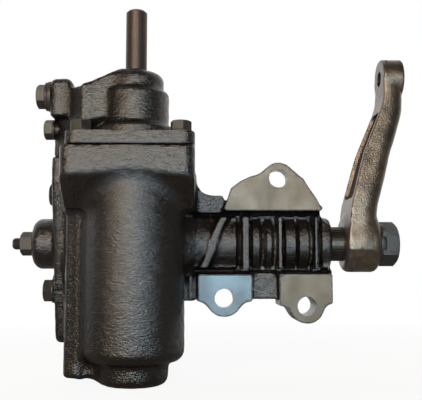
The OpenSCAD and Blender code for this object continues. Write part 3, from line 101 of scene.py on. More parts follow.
def outline(u, v, corners, radius):
    """Distance to a polygon whose outward corners are rounded: the polygon moved in by the radius,
    less the radius. The sign comes from the number of edges crossed on the way out."""
    points = np.array(corners, float)
    ahead = np.roll(points, -1, 0) - points
    ahead /= np.hypot(ahead[:, 0], ahead[:, 1])[:, None]
    area = np.sum(points[:, 0] * np.roll(points[:, 1], -1) - points[:, 1] * np.roll(points[:, 0], -1))
    inward = np.stack([-ahead[:, 1], ahead[:, 0]], 1) * np.sign(area)
    before = np.roll(inward, 1, 0)
    points = points + radius * (inward + before) / (1 + np.sum(inward * before, 1))[:, None]
    nearest, inside = np.inf, False
    for a, b in zip(points, np.roll(points, -1, 0)):
        e = b - a
        wu, wv = u - a[0], v - a[1]
        along = np.clip((wu * e[0] + wv * e[1]) / (e @ e), 0, 1)
        nearest = np.minimum(nearest, (wu - e[0] * along) ** 2 + (wv - e[1] * along) ** 2)
        above, below, left = wv >= 0, v < b[1], e[0] * wv > e[1] * wu
        inside = inside ^ ((above & below & left) | (~above & ~below & ~left))
    return np.where(inside, -1, 1) * np.sqrt(nearest) - radius


def unevenness(x, y, z, height):
    """Slow waves of a sand casting: a product of three sines of about 12 and 7 mm."""
    slow = np.sin(x * 0.51 + 1.3) * np.sin(y * 0.47 + 0.4) * np.sin(z * 0.55 + 2.1)
    quick = np.sin(x * 0.93 + z * 0.4) * np.sin(y * 0.88 - 0.7) * np.sin(z * 0.97 + x * 0.3)
    return height * (slow + 0.6 * quick)


# Skin of a distance function

def cross_edges(values, axis):
    """Grid edges along one axis whose two ends lie on different sides of the skin."""
    ahead = np.roll(values, -1, axis)
    crossed = (values < 0) != (ahead < 0)
    last = [slice(None)] * 3
    last[axis] = -1
    crossed[tuple(last)] = False
    at = np.argwhere(crossed)
    a, b = values[tuple(at.T)], ahead[tuple(at.T)]
    return at, a / (a - b), a < 0


def grid_line(low, high, cell, fine):
    """Places of the grid planes from low to past high, with the cell of fine = (start, end, cell)
    between its start and its end."""
    start, end, fine_cell = fine or (high, high, cell)
    places = np.concatenate([np.arange(low, start, cell), np.arange(start, end, fine_cell),
                             np.arange(end, high, cell)])
    return np.append(places[places < high], high)


def skin(name, shape, low, high, cell, faces_share=1.0, fine=None):
    """Mesh of a distance function on a grid of cells, finer along a stretch of x if given. Each
    cell that the skin crosses gets one vertex, where the tangent planes of its crossed edges meet,
    by least squares held to their mean. Each crossed edge gets one face, between the four cells
    round it."""
    axes = [grid_line(low[i], high[i], cell, fine if i == 0 else None) for i in range(3)]
    counts = [len(places) for places in axes]
    values = shape(axes[0][:, None, None], axes[1][None, :, None], axes[2][None, None, :])
    values = np.broadcast_to(values, counts).copy()
    values[np.abs(values) < 1e-6] = 1e-6
    edges = [cross_edges(values, axis) for axis in range(3)]
    points, owners, faces = [], [], []
    cell_counts = np.array(counts)
    for axis, (at, part, starts_inside) in enumerate(edges):
        place = at.astype(float)
        place[:, axis] += part
        points.append(np.stack([np.interp(place[:, i], np.arange(counts[i]), axes[i])
                                for i in range(3)], 1))
        u, v = [(1, 2), (2, 0), (0, 1)][axis]
        ring = []
        for du, dv in ((0, 0), (-1, 0), (-1, -1), (0, -1)):
            c = at.copy()
            c[:, u] += du
            c[:, v] += dv
            ring.append((c[:, 0] * cell_counts[1] + c[:, 1]) * cell_counts[2] + c[:, 2])
        ring = np.stack(ring, 1)
        owners.append(ring)
        faces.append(np.where(starts_inside[:, None], ring, ring[:, ::-1]))
    points, owners, faces = np.concatenate(points), np.concatenate(owners), np.concatenate(faces)
    step = 0.02
    turns = np.array([[1, -1, -1], [-1, -1, 1], [-1, 1, -1], [1, 1, 1]]) * step
    normals = sum(t * shape(*(points + t).T)[:, None] for t in turns)
    normals /= np.maximum(np.linalg.norm(normals, axis=1), 1e-9)[:, None]
    cells, owner = np.unique(owners, return_inverse=True)
    owner = owner.reshape(owners.shape)
    total = len(cells)

    def gather(value):
        return sum(np.bincount(owner[:, i], value, total) for i in range(4))

    number = gather(np.ones(len(points)))
    middle = np.stack([gather(points[:, i]) for i in range(3)], 1) / number[:, None]
    plane = np.sum(normals * points, 1)
    square = np.zeros((total, 3, 3))
    for i in range(3):
        for j in range(i, 3):
            square[:, i, j] = square[:, j, i] = gather(normals[:, i] * normals[:, j])
    side = np.stack([gather(normals[:, i] * plane) for i in range(3)], 1)
    side -= np.einsum("nij,nj->ni", square, middle)
    hold = 0.04
    square += hold * np.eye(3)
    moved = np.linalg.solve(square, side[:, :, None])[:, :, 0]
    index = np.unravel_index(cells, counts)
    first = np.stack([places[i] for places, i in zip(axes, index)], 1)
    last = np.stack([places[i + 1] for places, i in zip(axes, index)], 1)
    vertices = np.clip(middle + moved, first, last)
    faces = np.searchsorted(cells, faces)
    vertices = (vertices + GEAR_CENTRE) * MM
    obj = make_mesh(name, vertices, faces)
    if faces_share < 1:
        thin = obj.modifiers.new("thin", "DECIMATE")
        thin.ratio = faces_share
        apply_modifiers(obj)
    smooth(obj)
    return obj


# Meshes

def make_mesh(name, vertices, faces):
    """Mesh object from arrays of corners and of four-sided faces."""
    mesh = bpy.data.meshes.new(name)
    mesh.vertices.add(len(vertices))
    mesh.vertices.foreach_set("co", np.asarray(vertices, np.float32).ravel())
    mesh.loops.add(faces.size)
    mesh.loops.foreach_set("vertex_index", np.asarray(faces, np.int32).ravel())
    mesh.polygons.add(len(faces))
    mesh.polygons.foreach_set("loop_start", np.arange(0, faces.size, faces.shape[1], dtype=np.int32))
    mesh.update(calc_edges=True)
    mesh.validate()
    obj = bpy.data.objects.new(name, mesh)
    bpy.context.scene.collection.objects.link(obj)
    return obj


def apply_modifiers(obj):
    """Puts the result of the modifiers in the mesh."""
    graph = bpy.context.evaluated_depsgraph_get()
    mesh = bpy.data.meshes.new_from_object(obj.evaluated_get(graph))
    obj.modifiers.clear()
    obj.data = mesh


def smooth(obj, angle=SHARP_ANGLE):
    """Smooth shading, with an edge kept sharp where two faces meet at more than the angle."""
    obj.data.polygons.foreach_set("use_smooth", np.ones(len(obj.data.polygons), bool))
    obj.data.set_sharp_from_angle(angle=angle)


def close_poles(obj):
    """Merges the points that meet on an axis or along a seam."""
    work = bmesh.new()
    work.from_mesh(obj.data)
    bmesh.ops.remove_doubles(work, verts=work.verts, dist=2e-6)
    work.to_mesh(obj.data)
    work.free()


def join(name, parts):
    """One object from several."""
    work = bmesh.new()
    for part in parts:
        work.from_mesh(part.data)
        bpy.data.objects.remove(part)
    mesh = bpy.data.meshes.new(name)
    work.to_mesh(mesh)
    work.free()
    obj = bpy.data.objects.new(name, mesh)
    bpy.context.scene.collection.objects.link(obj)
    return obj


def grid_faces(rows, columns):
    """Four-sided faces of a grid that closes on itself along its columns."""
    i = np.arange(rows - 1)[:, None]
    j = np.arange(columns)[None, :]
    a, b = i * columns + j, i * columns + (j + 1) % columns
    c, d = (i + 1) % rows * columns + (j + 1) % columns, (i + 1) % rows * columns + j
    return np.stack([a, b, c, d], -1).reshape(-1, 4)


# Castings: sizes in mm about the gear centre

JOINT_Z = 67.8
PAD_Y = -27.0
WEB_Y = -16.0
COVER_X = -58.6
CYLINDER_R = 38.0
BORE_R = 31.5
BORE_BOTTOM = -83.0
TUBE_R = 21.7
TUBE_END = 157.3
CHAMBER_R = 32.9
BEARING_R = 18.2
UNDER_SLOPE = math.radians(42)
MOUNT_HOLES = ((112.7, 51.9), (69.0, -43.9), (134.6, -50.1))
MOUNT_R = 7.5
VALVE_BOLTS = ((-37, -82), (35.5, -82), (-37, -20), (35.5, -20))
COVER_BOLT_R = 40.6
COVER_BOLT_ANGLES = (88, 249, 22, 306)
BOLT_R = 5.0

BLOCK = ((-51.5, -92), (45.7, -92), (45.7, -12), (-51.5, -12))
VALVE_PLATE = ((-48, -92), (45.7, -92), (45.7, -12), (-48, -12))
COLUMN = ((-52.2, -24), (-52.2, -50), (-50.2, -54), (-38, -60), (-37.5, -24))
COVER = ((-40, 67.3, 2.5), (-40, 47.1, 9), (-11, -80.1, 9), (10, -80.1, 9), (50, -22.2, 20),
         (50, 24.2, 20), (16, 67.3, 9))
UPPER_PAD = ((68.6, 25.7), (74.5, 43.8), (82, 49.4), (90, 53.3), (99, 55.4), (126, 55.4),
             (132.4, 52), (136.4, 45.5), (143.5, 35.1), (147.6, 27.2), (146.6, 25.7))
LEFT_PAD = ((48.3, -25.1), (91.4, -25.1), (91.2, -46.6), (48.3, -46.6))
RIGHT_PAD = ((112.8, -24.3), (155.1, -24.3), (155.1, -48.3), (112.8, -50.2))
PADS = ((UPPER_PAD, 12.6, 17), (LEFT_PAD, 14.4, 15), (RIGHT_PAD, 13.6, 32))
RIBS = ((60, 80, 21.7), (83.9, 88.9, 21), (92.6, 97.3, 23.4), (104, 107.2, 22.2), (113, 115.5, 21),
        (119.2, 126.5, 23.2), (130.2, 136.9, 23.2), (141.9, 144.4, 21), (148.7, 160, 21.7))
FLAT_RIBS = (1, 4, 7)
RIB_FRONT = -24.8
VALLEY_R = 19.4
CHANNELS_Z = (22.9, -22.0)
CHANNEL_HALF = 2.6


def arcs(corners):
    """Points of a polygon whose corners [u, v, radius] are rounded: along each, an arc that touches
    both sides, by a quadratic curve between its two ends."""
    found = []
    points = np.array(corners, float)
    for i, (u, v, radius) in enumerate(points):
        here = np.array([u, v])
        ends = []
        for other in (points[i - 1], points[(i + 1) % len(points)]):
            way = other[:2] - here
            ends.append(way / np.hypot(*way))
        turn = math.acos(float(np.clip(ends[0] @ ends[1], -1, 1)))
        reach = radius / math.tan(turn / 2)
        for t in (0, 0.25, 0.5, 0.75, 1):
            found.append(here + ends[0] * reach * (1 - t) ** 2 + ends[1] * reach * t ** 2)
    return found


COVER_OUTLINE = arcs(COVER)


def cover_bolts():
    """Places of the side cover bolts, as [y, z]."""
    turns = np.radians(COVER_BOLT_ANGLES)
    return np.stack([COVER_BOLT_R * np.cos(turns), COVER_BOLT_R * np.sin(turns)], 1)


def pad_outlines(x, z):
    """Distances to the outlines of the three pads: a plate with a round lug about its hole."""
    return [blend(outline(x, z, corners, 2.2), np.hypot(x - hole_x, z - hole_z) - lug_r, 7)
            for (corners, lug_r, thickness), (hole_x, hole_z) in zip(PADS, MOUNT_HOLES)]


def tube_surface(x):
    """Radius of the tube along its ribs [start, end, radius]: level on each rib, and between two
    ribs a steep vee down to the radius of the valleys."""
    starts, ends, tops = np.array(RIBS, float).T
    radius = np.interp(x, np.stack([starts, ends], 1).ravel(), np.repeat(tops, 2))
    for a, b, top in zip(ends[:-1], starts[1:], (tops[:-1] + tops[1:]) / 2):
        along = np.clip((x - a) / (b - a), 0, 1)
        radius = radius - (top - VALLEY_R) * (1 - np.abs(2 * along - 1))
    return radius


def gear_casting(x, y, z):
    """Cylinder, flange block, passage column, sector chamber, ribbed tube, webs and three pads,
    joined with cast fillets, then bored and faced."""
    worm_r, tube_r = np.hypot(x, y - WORM_Y), np.hypot(y, z)
    cylinder = rounded_rod(worm_r, z, CYLINDER_R, -89, 90, 9)
    boss = rounded_rod(worm_r - 0.08 * (z + 92), z, 26.4, -106, -50, 6)
    body = blend(cylinder, boss, 5)
    low_edge = 46.5 + 4.8 * np.exp(-(x / 19) ** 2)
    under = (low_edge - (y + 92) * math.tan(UNDER_SLOPE) - z) * math.cos(UNDER_SLOPE)
    block = common(outline(x, y, BLOCK, 8), np.maximum(under, slab(z, 24, 90)), 2.5)
    body = blend(body, block, 7)
    column = common(outline(x, y, COLUMN, 4), slab(z, -101.3, 60), 4)
    tie = rounded_box(x, y, z, (-42, -55, -101.5), (-10, -26, 50), 4)
    body = blend(body, blend(column, tie, 4), 9)
    chamber = outline(x, tube_r, ((-90, -60), (-90, 39.9), (19.5, 39.9), (47, 25), (62, TUBE_R),
                                  (90, TUBE_R), (90, -60)), 3)
    body = blend(body, common(chamber, slab(x, -58.6, 80)), 7)
    flange = common(outline(y, z, COVER_OUTLINE, 0.1), slab(x, -70, -51), 1.5)
    body = blend(body, flange, 5)
    surface_r = tube_surface(x)
    tube = common((tube_r - surface_r) * 0.7, slab(x, 0, TUBE_END), 4)
    bend = 60.6 + 0.385 * z - 0.7 * np.sin(z * 0.19)
    slant = common(np.abs(x - bend) * 0.93 - 2.7 - 0.3 * (y - RIB_FRONT), RIB_FRONT - y, 1.4)
    tube = blend(tube, common(slant, np.maximum(slab(z, -20.5, 20.5), y + 5), 1), 2.5)
    upper_web = outline(x, z, ((20, -5), (153, -5), (153, 14), (147, 24), (72, 30), (68, 39),
                               (20, 39)), 3)
    hollow = 15.5 - np.hypot(x - 61.2, z - 54.1)
    corner = np.maximum(hollow, np.maximum(slab(x, 30, 61.2), slab(z, 30, 54.1)))
    upper_web = blend(upper_web, corner, 1)
    lower_web = outline(x, z, ((20, 5), (154, 5), (155, -40), (110, -44.8), (50, -44.8),
                               (44, -46.4), (20, -46.4)), 2)
    web = common(blend(upper_web, lower_web, 2), slab(y, WEB_Y, WEB_Y + 12), 1.2)
    web = cut_out(web, np.maximum(slab(x, 20, 47.3), np.maximum(slab(z, -60, -25), y + 6)), 1)
    rib = rounded_box(x, y, z, (41.5, WEB_Y - 3.5, -44.5), (43.4, WEB_Y + 4, -26), 0.9)
    web = blend(web, rib, 1.2)
    body = blend(body, blend(tube, web, 3), 6)
    fillet = 3 + 6 * np.clip((28 - np.abs(z)) / 5, 0, 1)
    for pad_outline, (corners, lug_r, thickness) in zip(pad_outlines(x, z), PADS):
        pad = common(pad_outline, slab(y, PAD_Y - 8, PAD_Y + thickness), 1)
        body = blend(body, pad, fillet)
    body = body + unevenness(x, y, z, 0.1)
    valley = common(surface_r - tube_r, np.maximum(np.abs(z) - 21, slab(x, 79, 149)), 1.5)
    body = cut_out(body, np.maximum(valley, y + 8), 1.2)
    channels = np.minimum(np.abs(z - CHANNELS_Z[0]), np.abs(z - CHANNELS_Z[1]))
    channels = channels - CHANNEL_HALF * np.clip((WEB_Y + 6 - y) / 7, 0, 1)
    body = cut_out(body, np.maximum(channels, np.maximum(slab(x, 44.5, 153), y + 3)), 1)
    for start, end, top in [RIBS[i] for i in FLAT_RIBS]:
        rib = common(slab(x, start, end) - 0.1 * (y - RIB_FRONT), RIB_FRONT - y, 0.8)
        body = blend(body, common(rib, np.maximum(np.abs(z) - 20.5, y + 5), 1), 1)
    body = common(common(body, z - JOINT_Z, 2.2), COVER_X - x)
    body = cut_out(body, np.maximum(y - PAD_Y, 46 - x))
    holes = rod(worm_r, z, BORE_R, BORE_BOTTOM, 90)
    holes = np.minimum(holes, rod(tube_r, x, CHAMBER_R, -90, 19.5))
    holes = np.minimum(holes, rod(tube_r, x, BEARING_R, 0, 200))
    for hole_x, hole_z in MOUNT_HOLES:
        holes = np.minimum(holes, np.hypot(x - hole_x, z - hole_z) - MOUNT_R)
    for bolt_x, bolt_y in VALVE_BOLTS:
        holes = np.minimum(holes, rod(np.hypot(x - bolt_x, y - bolt_y), z, BOLT_R, 45.8, 90))
    for bolt_y, bolt_z in cover_bolts():
        holes = np.minimum(holes, rod(np.hypot(y - bolt_y, z - bolt_z), x, BOLT_R, -90, -41.6))
    return cut_out(body, holes)


def mark(obj, name, measure):
    """Keeps a measure of each point of a piece, for its material to read."""
    points = np.empty(len(obj.data.vertices) * 3, np.float32)
    obj.data.vertices.foreach_get("co", points)
    x, y, z = (points.reshape(-1, 3) / MM - GEAR_CENTRE).T
    kept = obj.data.attributes.new(name, "FLOAT", "POINT")
    kept.data.foreach_set("value", measure(x, y, z).astype(np.float32))
    return obj


def pad_depth(x, y, z):
    """Distance inside the milled face of a pad, negative on it."""
    inside = np.maximum(np.min(pad_outlines(x, z), 0), 4 * np.abs(y - PAD_Y) - 3)
    for hole_x, hole_z in MOUNT_HOLES:
        inside = np.maximum(inside, MOUNT_R - 1 - np.hypot(x - hole_x, z - hole_z))
    return inside


def valve_casting(x, y, z):
    """Bolted plate, ring, round body with its cap, and the arm that carries the oil ports."""
    worm_r = np.hypot(x, y - WORM_Y)
    plate = common(outline(x, y, VALVE_PLATE, 8), slab(z, 60, 78), 1.2)
    shape = blend(plate, rounded_rod(worm_r, z, 31, 60, 86.2, 2.5), 1.5)
    shape = blend(shape, rounded_rod(worm_r, z, 25.5, 60, 114, 3), 5)
    cap = rounded_rod(worm_r, z, 21.4, 60, 129, 7)
    top = np.interp(x, (-40, -32, -25, -18, -10, 0), (117.8, 120.6, 123.9, 127, 129, 129))
    facet = common(slab(x, -38.9, 5), slab(y, -67.5, -24), 2)
    facet = common(facet, np.maximum((z - top) * 0.92, 60 - z), 3.5)
    under = (89.2 + 0.22 * (x + 38) - 0.7 * (y + 67.5) - z) * 0.8
    facet = common(facet, under, 2)
    side = outline(x, y, ((-50.2, -24), (-50.2, -54), (-38.9, -67.5), (-32, -67.5),
                          (-32, -24)), 1.5)
    side = common(side, slab(z, 60, 117.8), 3.5)
    side = common(side, np.maximum(under, 84 - z - 40 * (y > -58)), 2)
    boss = common(rounded_box(x, y, z, (-66, -54, 80), (-49, -24, 126), 5), 96.8 - z, 2)
    wall = outline(x, y, ((-66, -5), (-66, -30), (-50.2, -45), (-44, -45), (-44, -5)), 3)
    wall = common(wall, slab(z, 55, 116), 3)
    arm = blend(blend(boss, side, 6), blend(facet, wall, 2), 2)
    shape = blend(blend(shape, arm, 3), cap, 4)
    shape = shape + unevenness(x, y, z, 0.1)
    shape = common(shape, JOINT_Z + 0.25 - z, 2)
    holes = rod(worm_r, z, 20.6, 50, 110)
    holes = np.minimum(holes, rod(worm_r, z, 15.5, 100, 140))
    holes = np.minimum(holes, rod(np.hypot(y + 40, z - 114), x, 7, -70, -54))
    holes = np.minimum(holes, rod(np.hypot(x + 20, z - 96), y, 7, -30, -20))
    holes = np.minimum(holes, rod(np.hypot(y + 28, z - 90), x, 5, -70, -56))
    for bolt_x, bolt_y in VALVE_BOLTS:
        bolt_r = np.hypot(x - bolt_x, y - bolt_y)
        holes = np.minimum(holes, rod(bolt_r, z, BOLT_R + 0.3, 60, 90))
        holes = np.minimum(holes, rod(bolt_r, z, 8.9, 78, 110))
    return cut_out(shape, holes)


def cover_casting(x, y, z):
    """Side cover: a plate with the outline of its joint face, and a dome over the sector shaft."""
    tube_r = np.hypot(y, z)
    plate = common(outline(y, z, COVER_OUTLINE, 0.1), -66.5 - x, 5)
    plate = np.maximum(plate, x + 40)
    dome = rounded_rod(tube_r, x, 20.6, -86.5, -30, 7.5)
    collar = rounded_rod(tube_r, x, 8.2, -87.7, -80, 0.8)
    shape = blend(blend(plate, dome, 4), collar, 1)
    for bolt_y, bolt_z in cover_bolts():
        seat = rounded_rod(np.hypot(y - bolt_y, z - bolt_z), x, 10, -67.2, -60, 0.8)
        shape = blend(shape, common(seat, outline(y, z, COVER_OUTLINE, 0.1)), 1)
    shape = shape + unevenness(x, y, z, 0.08)
    shape = common(shape, x - COVER_X + 0.5)
    inside = rounded_rod(tube_r, x, BEARING_R, -80, -40, 1)
    inside = np.minimum(inside, rod(tube_r, x, 5, -90, -70))
    for bolt_y, bolt_z in cover_bolts():
        bolt_r = np.hypot(y - bolt_y, z - bolt_z)
        inside = np.minimum(inside, rod(bolt_r, x, BOLT_R + 0.3, -90, -50))
    return cut_out(shape, inside)


ARM_LENGTH = 140.5
HUB = (168.0, 197.0)
EYE = (203.0, 220.5)
ARM_NEAR = ((-30, 171), (12, 171), (30, 172.3), (75, 184.6), (114, 200.8), (124, 203), (170, 203))
ARM_THICK = ((-30, 23), (33, 23.5), (60, 24), (85, 23.2), (108, 20.8), (122, 17.5), (170, 17.5))
ARM_HALF = ((-30, 21), (10, 22.5), (40, 22), (75, 18.5), (110, 16), (122, 15.5), (170, 15.5))


def along_arm(z, table):
    """Value from a table of [height, value], smoothed over a few millimetres by averaging."""
    heights, found = np.array(table, float).T
    return sum(np.interp(z + shift, heights, found) for shift in (-5, -2.5, 0, 2.5, 5)) / 5


def near_face_depth(x, y, z):
    """Depth below the face of the arm that looks towards the housing, kept under 2 mm outside
    the recess in that face."""
    depth = (x - np.minimum(along_arm(z, ARM_NEAR), EYE[0])) * 0.94
    return np.where(np.abs(y) > along_arm(z, ARM_HALF) - 3.5, np.minimum(depth, 2), depth)


def forged_arm(x, y, z):
    """Pitman arm: hub and eye along the shaft, and a shank between them that leans away from the
    housing and narrows upwards, with a long recess in the face towards the housing."""
    tube_r, eye_r = np.hypot(y, z), np.hypot(y, z - ARM_LENGTH)
    near, half = along_arm(z, ARM_NEAR), along_arm(z, ARM_HALF)
    far = near + along_arm(z, ARM_THICK)
    lean = 0.94
    shank = common((near - x) * lean, np.abs(y) - half, 1.6)
    shank = common(shank, (x - far) * lean, 13)
    shank = common(shank, slab(z, -4, ARM_LENGTH), 1)
    hub = rounded_rod(tube_r, x, 23.3, HUB[0], HUB[1], 5.5)
    eye = rounded_rod(eye_r, x, 16.4, EYE[0], EYE[1], 1.6)
    shape = blend(blend(shank, hub, 5), eye, 1.2)
    lip = 5.2 - 1.2 * np.clip((z - 40) / 80, 0, 1)
    floor = (x - near) * lean - 3.6
    mouth = common(np.abs(y) - (half - lip), slab(z, 38, 110), 6)
    shape = cut_out(shape, common(floor, mouth, 2.5), 1.2)
    shape = shape + unevenness(x, y, z, 0.06)
    shape = common(shape, np.maximum(slab(x, HUB[0] + 0.05, EYE[1] - 0.05), -30 - z))
    taper = tube_r - (13.25 - 0.055 * (x - HUB[0]))
    return cut_out(shape, np.minimum(taper, eye_r - (6.3 + 0.0625 * (x - EYE[0]))))


# Turned pieces

def turned(name, axis, centre, profile, sides=0, flats=0.0, turn=0.0, steps=96):
    """Piece turned about an axis: a profile of [along, radius] points carried round, closed at both
    ends by its own points on the axis. With sides, the radius is also held inside a polygon of that
    width across its flats, which cuts the hexagon of a head and the arcs of its chamfer."""
    along, radius = np.array(profile, float).T
    angle = np.arange(steps) * 2 * np.pi / steps + turn
    limit = np.full(steps, 1e9)
    if sides:
        part = 2 * np.pi / sides
        limit = flats / 2 / np.cos((angle - turn + part / 2) % part - part / 2)
    r = np.minimum(radius[:, None], limit[None, :])
    u, v = r * np.cos(angle), r * np.sin(angle)
    s = np.broadcast_to(along[:, None], r.shape)
    order = {"x": (s, u, v), "y": (v, s, u), "z": (u, v, s)}[axis]
    points = np.stack(order, -1).reshape(-1, 3) + np.array(centre, float)
    faces = grid_faces(len(along), steps)
    if along[-1] < along[0]:
        faces = faces[:, ::-1]
    obj = make_mesh(name, (points + GEAR_CENTRE) * MM, faces)
    close_poles(obj)
    smooth(obj, math.radians(28))
    return obj


def hexagon_head(base, way, flats, height):
    """Profile of a head that stands out from base, one way along its axis, its face chamfered."""
    corner, face = flats / math.sqrt(3), flats / 2 * 0.93
    drop = (corner - face) * 0.6
    rows = [(0, 0), (0, corner), (height - drop, corner)]
    rows += [(height - drop * (1 - share), corner + (face - corner) * share)
             for share in (0.25, 0.5, 0.75, 1)]
    rows += [(height, face - 0.4), (height, 0)]
    return [(base + way * along, radius) for along, radius in rows]


def washer(base, way, radius, height, corner=0.5):
    """Profile of a round washer or shank that stands out from base."""
    rows = [(0, 0), (0, radius), (height - corner, radius),
            (height - corner * 0.3, radius - corner * 0.3), (height, radius - corner), (height, 0)]
    return [(base + way * along, r) for along, r in rows]


# Heads: width across the flats, height, radius and thickness of the washer face, shank radius
SMALL_HEAD = (14, 6.6, 8.1, 1.6, 5)
COVER_HEAD = (17, 6.6, 9.8, 1.6, 5)
PORT_HEAD = (17, 6.8, 11.2, 1.8, 7)


def headed_bolt(name, axis, centre, base, way, head, turn, shank):
    """Hexagon head, its washer face and its shank of a given length, as one object."""
    flats, height, washer_r, washer_t, shank_r = head
    parts = [turned("head", axis, centre, hexagon_head(base + way * washer_t, way, flats, height),
                    6, flats, turn)]
    parts.append(turned("washer", axis, centre, washer(base, way, washer_r, washer_t), steps=48))
    parts.append(turned("shank", axis, centre, washer(base, -way, shank_r, shank), steps=32))
    return join(name, parts)


def threaded_rod(name, start, end, radius, pitch, depth):
    """Rod along x with a thread: its radius follows a triangle wave of the distance along it less
    the turn, one pitch a turn, and tapers in at the tip."""
    steps = 48
    along = np.arange(start, end, pitch / 12)
    angle = np.arange(steps) * 2 * np.pi / steps
    phase = (along[:, None] / pitch - angle[None, :] / (2 * np.pi)) % 1
    wave = np.abs(phase * 2 - 1)
    tip = np.clip((along - start) / (1.2 * pitch), 0, 1)[:, None]
    r = radius - depth * wave - 1.1 * (1 - tip)
    r = np.concatenate([np.zeros((1, steps)), r, np.zeros((1, steps))])
    s = np.concatenate([along[:1], along, along[-1:]])[:, None] + 0 * angle
    points = np.stack([s, r * np.cos(angle), r * np.sin(angle)], -1).reshape(-1, 3)
    obj = make_mesh(name, (points + GEAR_CENTRE) * MM, grid_faces(len(s), steps))
    close_poles(obj)
    smooth(obj)
    return obj


# Materials

def node(tree, kind, inputs=None, **settings):
    """New node with its settings, each input linked to a socket or given a value."""
    made = tree.nodes.new(kind)
    for key, value in settings.items():
        setattr(made, key, value)
    for key, value in (inputs or {}).items():
        if isinstance(value, bpy.types.NodeSocket):
            tree.links.new(value, made.inputs[key])
        else:
            made.inputs[key].default_value = value
    return made


def colour(r, g, b):
    """Colour of a socket."""
    return (r, g, b, 1.0)


def group(name, inputs, outputs):
    """Empty shader node group with named sockets, and its input and output nodes."""
    tree = bpy.data.node_groups.new(name, "ShaderNodeTree")
    for socket, kind in inputs:
        tree.interface.new_socket(socket, in_out="INPUT", socket_type="NodeSocket" + kind)
    for socket, kind in outputs:
        tree.interface.new_socket(socket, in_out="OUTPUT", socket_type="NodeSocket" + kind)
    return tree, tree.nodes.new("NodeGroupInput"), tree.nodes.new("NodeGroupOutput")


def place(tree):
    """Place on the piece, in its Object coordinates."""
    return tree.nodes.new("ShaderNodeTexCoord").outputs["Object"]


def make_two_tone():
    """Two colours and two roughnesses mixed by soft clouds, and a bump from fine grain."""
    tree, given, out = group(
        "two_tone", [("First", "Color"), ("Second", "Color"), ("Cloud Scale", "Float"),
                     ("Low Roughness", "Float"), ("High Roughness", "Float"),
                     ("Grain Scale", "Float"), ("Grain Depth", "Float")],
        [("Color", "Color"), ("Roughness", "Float"), ("Normal", "Vector")])
    at = place(tree)
    cloud = node(tree, "ShaderNodeTexNoise", {"Vector": at, "Scale": given.outputs["Cloud Scale"],
                                              "Detail": 4.0, "Roughness": 0.6})
    share = node(tree, "ShaderNodeMapRange", {"Value": cloud.outputs["Fac"], "From Min": 0.35,
                                              "From Max": 0.65})
    mixed = node(tree, "ShaderNodeMix", {"Factor": share.outputs["Result"]}, data_type="RGBA")
    tree.links.new(given.outputs["First"], mixed.inputs[6])
    tree.links.new(given.outputs["Second"], mixed.inputs[7])
    rough = node(tree, "ShaderNodeMapRange", {
        "Value": share.outputs["Result"], "To Min": given.outputs["Low Roughness"],
        "To Max": given.outputs["High Roughness"]})
    grain = node(tree, "ShaderNodeTexNoise", {"Vector": at, "Scale": given.outputs["Grain Scale"],
                                              "Detail": 3.0, "Roughness": 0.55})
    bump = node(tree, "ShaderNodeBump", {"Height": grain.outputs["Fac"],
                                         "Distance": given.outputs["Grain Depth"]})
    tree.links.new(mixed.outputs[2], out.inputs["Color"])
    tree.links.new(rough.outputs["Result"], out.inputs["Roughness"])
    tree.links.new(bump.outputs["Normal"], out.inputs["Normal"])
    return tree


def make_cast_skin():
    """Painted sand casting: rounded grains of about 1.4 mm under a gloss, with finer ones on them
    and slow waves below, and a painted glint: the crests of the grain are coloured a lighter brown."""
    tree, given, out = group(
        "cast_skin", [("Valley", "Color"), ("Painted Glint", "Color"), ("Grain Scale", "Float"),
                      ("Grain Depth", "Float"), ("Low Roughness", "Float"),
                      ("High Roughness", "Float")],
        [("Color", "Color"), ("Roughness", "Float"), ("Normal", "Vector")])
    at = place(tree)
    grain = node(tree, "ShaderNodeTexNoise", {"Vector": at, "Scale": given.outputs["Grain Scale"],
                                              "Detail": 3.0, "Roughness": 0.6})
    waves = node(tree, "ShaderNodeTexNoise", {"Vector": at, "Scale": 110.0, "Detail": 2.0})
    # painted glint: the crests of the grain get the lighter colour, in place of their highlights
    painted_glint_share = node(tree, "ShaderNodeMapRange", {"Value": grain.outputs["Fac"], "From Min": 0.45,
                                              "From Max": 0.7})
    mixed = node(tree, "ShaderNodeMix", {"Factor": painted_glint_share.outputs["Result"]}, data_type="RGBA")
    tree.links.new(given.outputs["Valley"], mixed.inputs[6])
    tree.links.new(given.outputs["Painted Glint"], mixed.inputs[7])
    rough = node(tree, "ShaderNodeMapRange", {
        "Value": waves.outputs["Fac"], "From Min": 0.3, "From Max": 0.7,
        "To Min": given.outputs["Low Roughness"], "To Max": given.outputs["High Roughness"]})
    broad = node(tree, "ShaderNodeBump", {"Height": waves.outputs["Fac"], "Distance": 0.0006})
    bump = node(tree, "ShaderNodeBump", {"Height": grain.outputs["Fac"],
                                         "Distance": given.outputs["Grain Depth"],
                                         "Normal": broad.outputs["Normal"]})
    tree.links.new(mixed.outputs[2], out.inputs["Color"])
    tree.links.new(rough.outputs["Result"], out.inputs["Roughness"])
    tree.links.new(bump.outputs["Normal"], out.inputs["Normal"])
    return tree


two_tone, cast_skin = make_two_tone(), make_cast_skin()


def use_group(tree, made, values):
    """A shader group in a material, with its own values."""
    box = node(tree, "ShaderNodeGroup", node_tree=made)
    for key, value in values.items():
        box.inputs[key].default_value = value
    return box


def new_material(name):
    """New material, its node tree and its shader."""
    made = bpy.data.materials.new(name)
    made.use_nodes = True
    return made, made.node_tree, made.node_tree.nodes["Principled BSDF"]


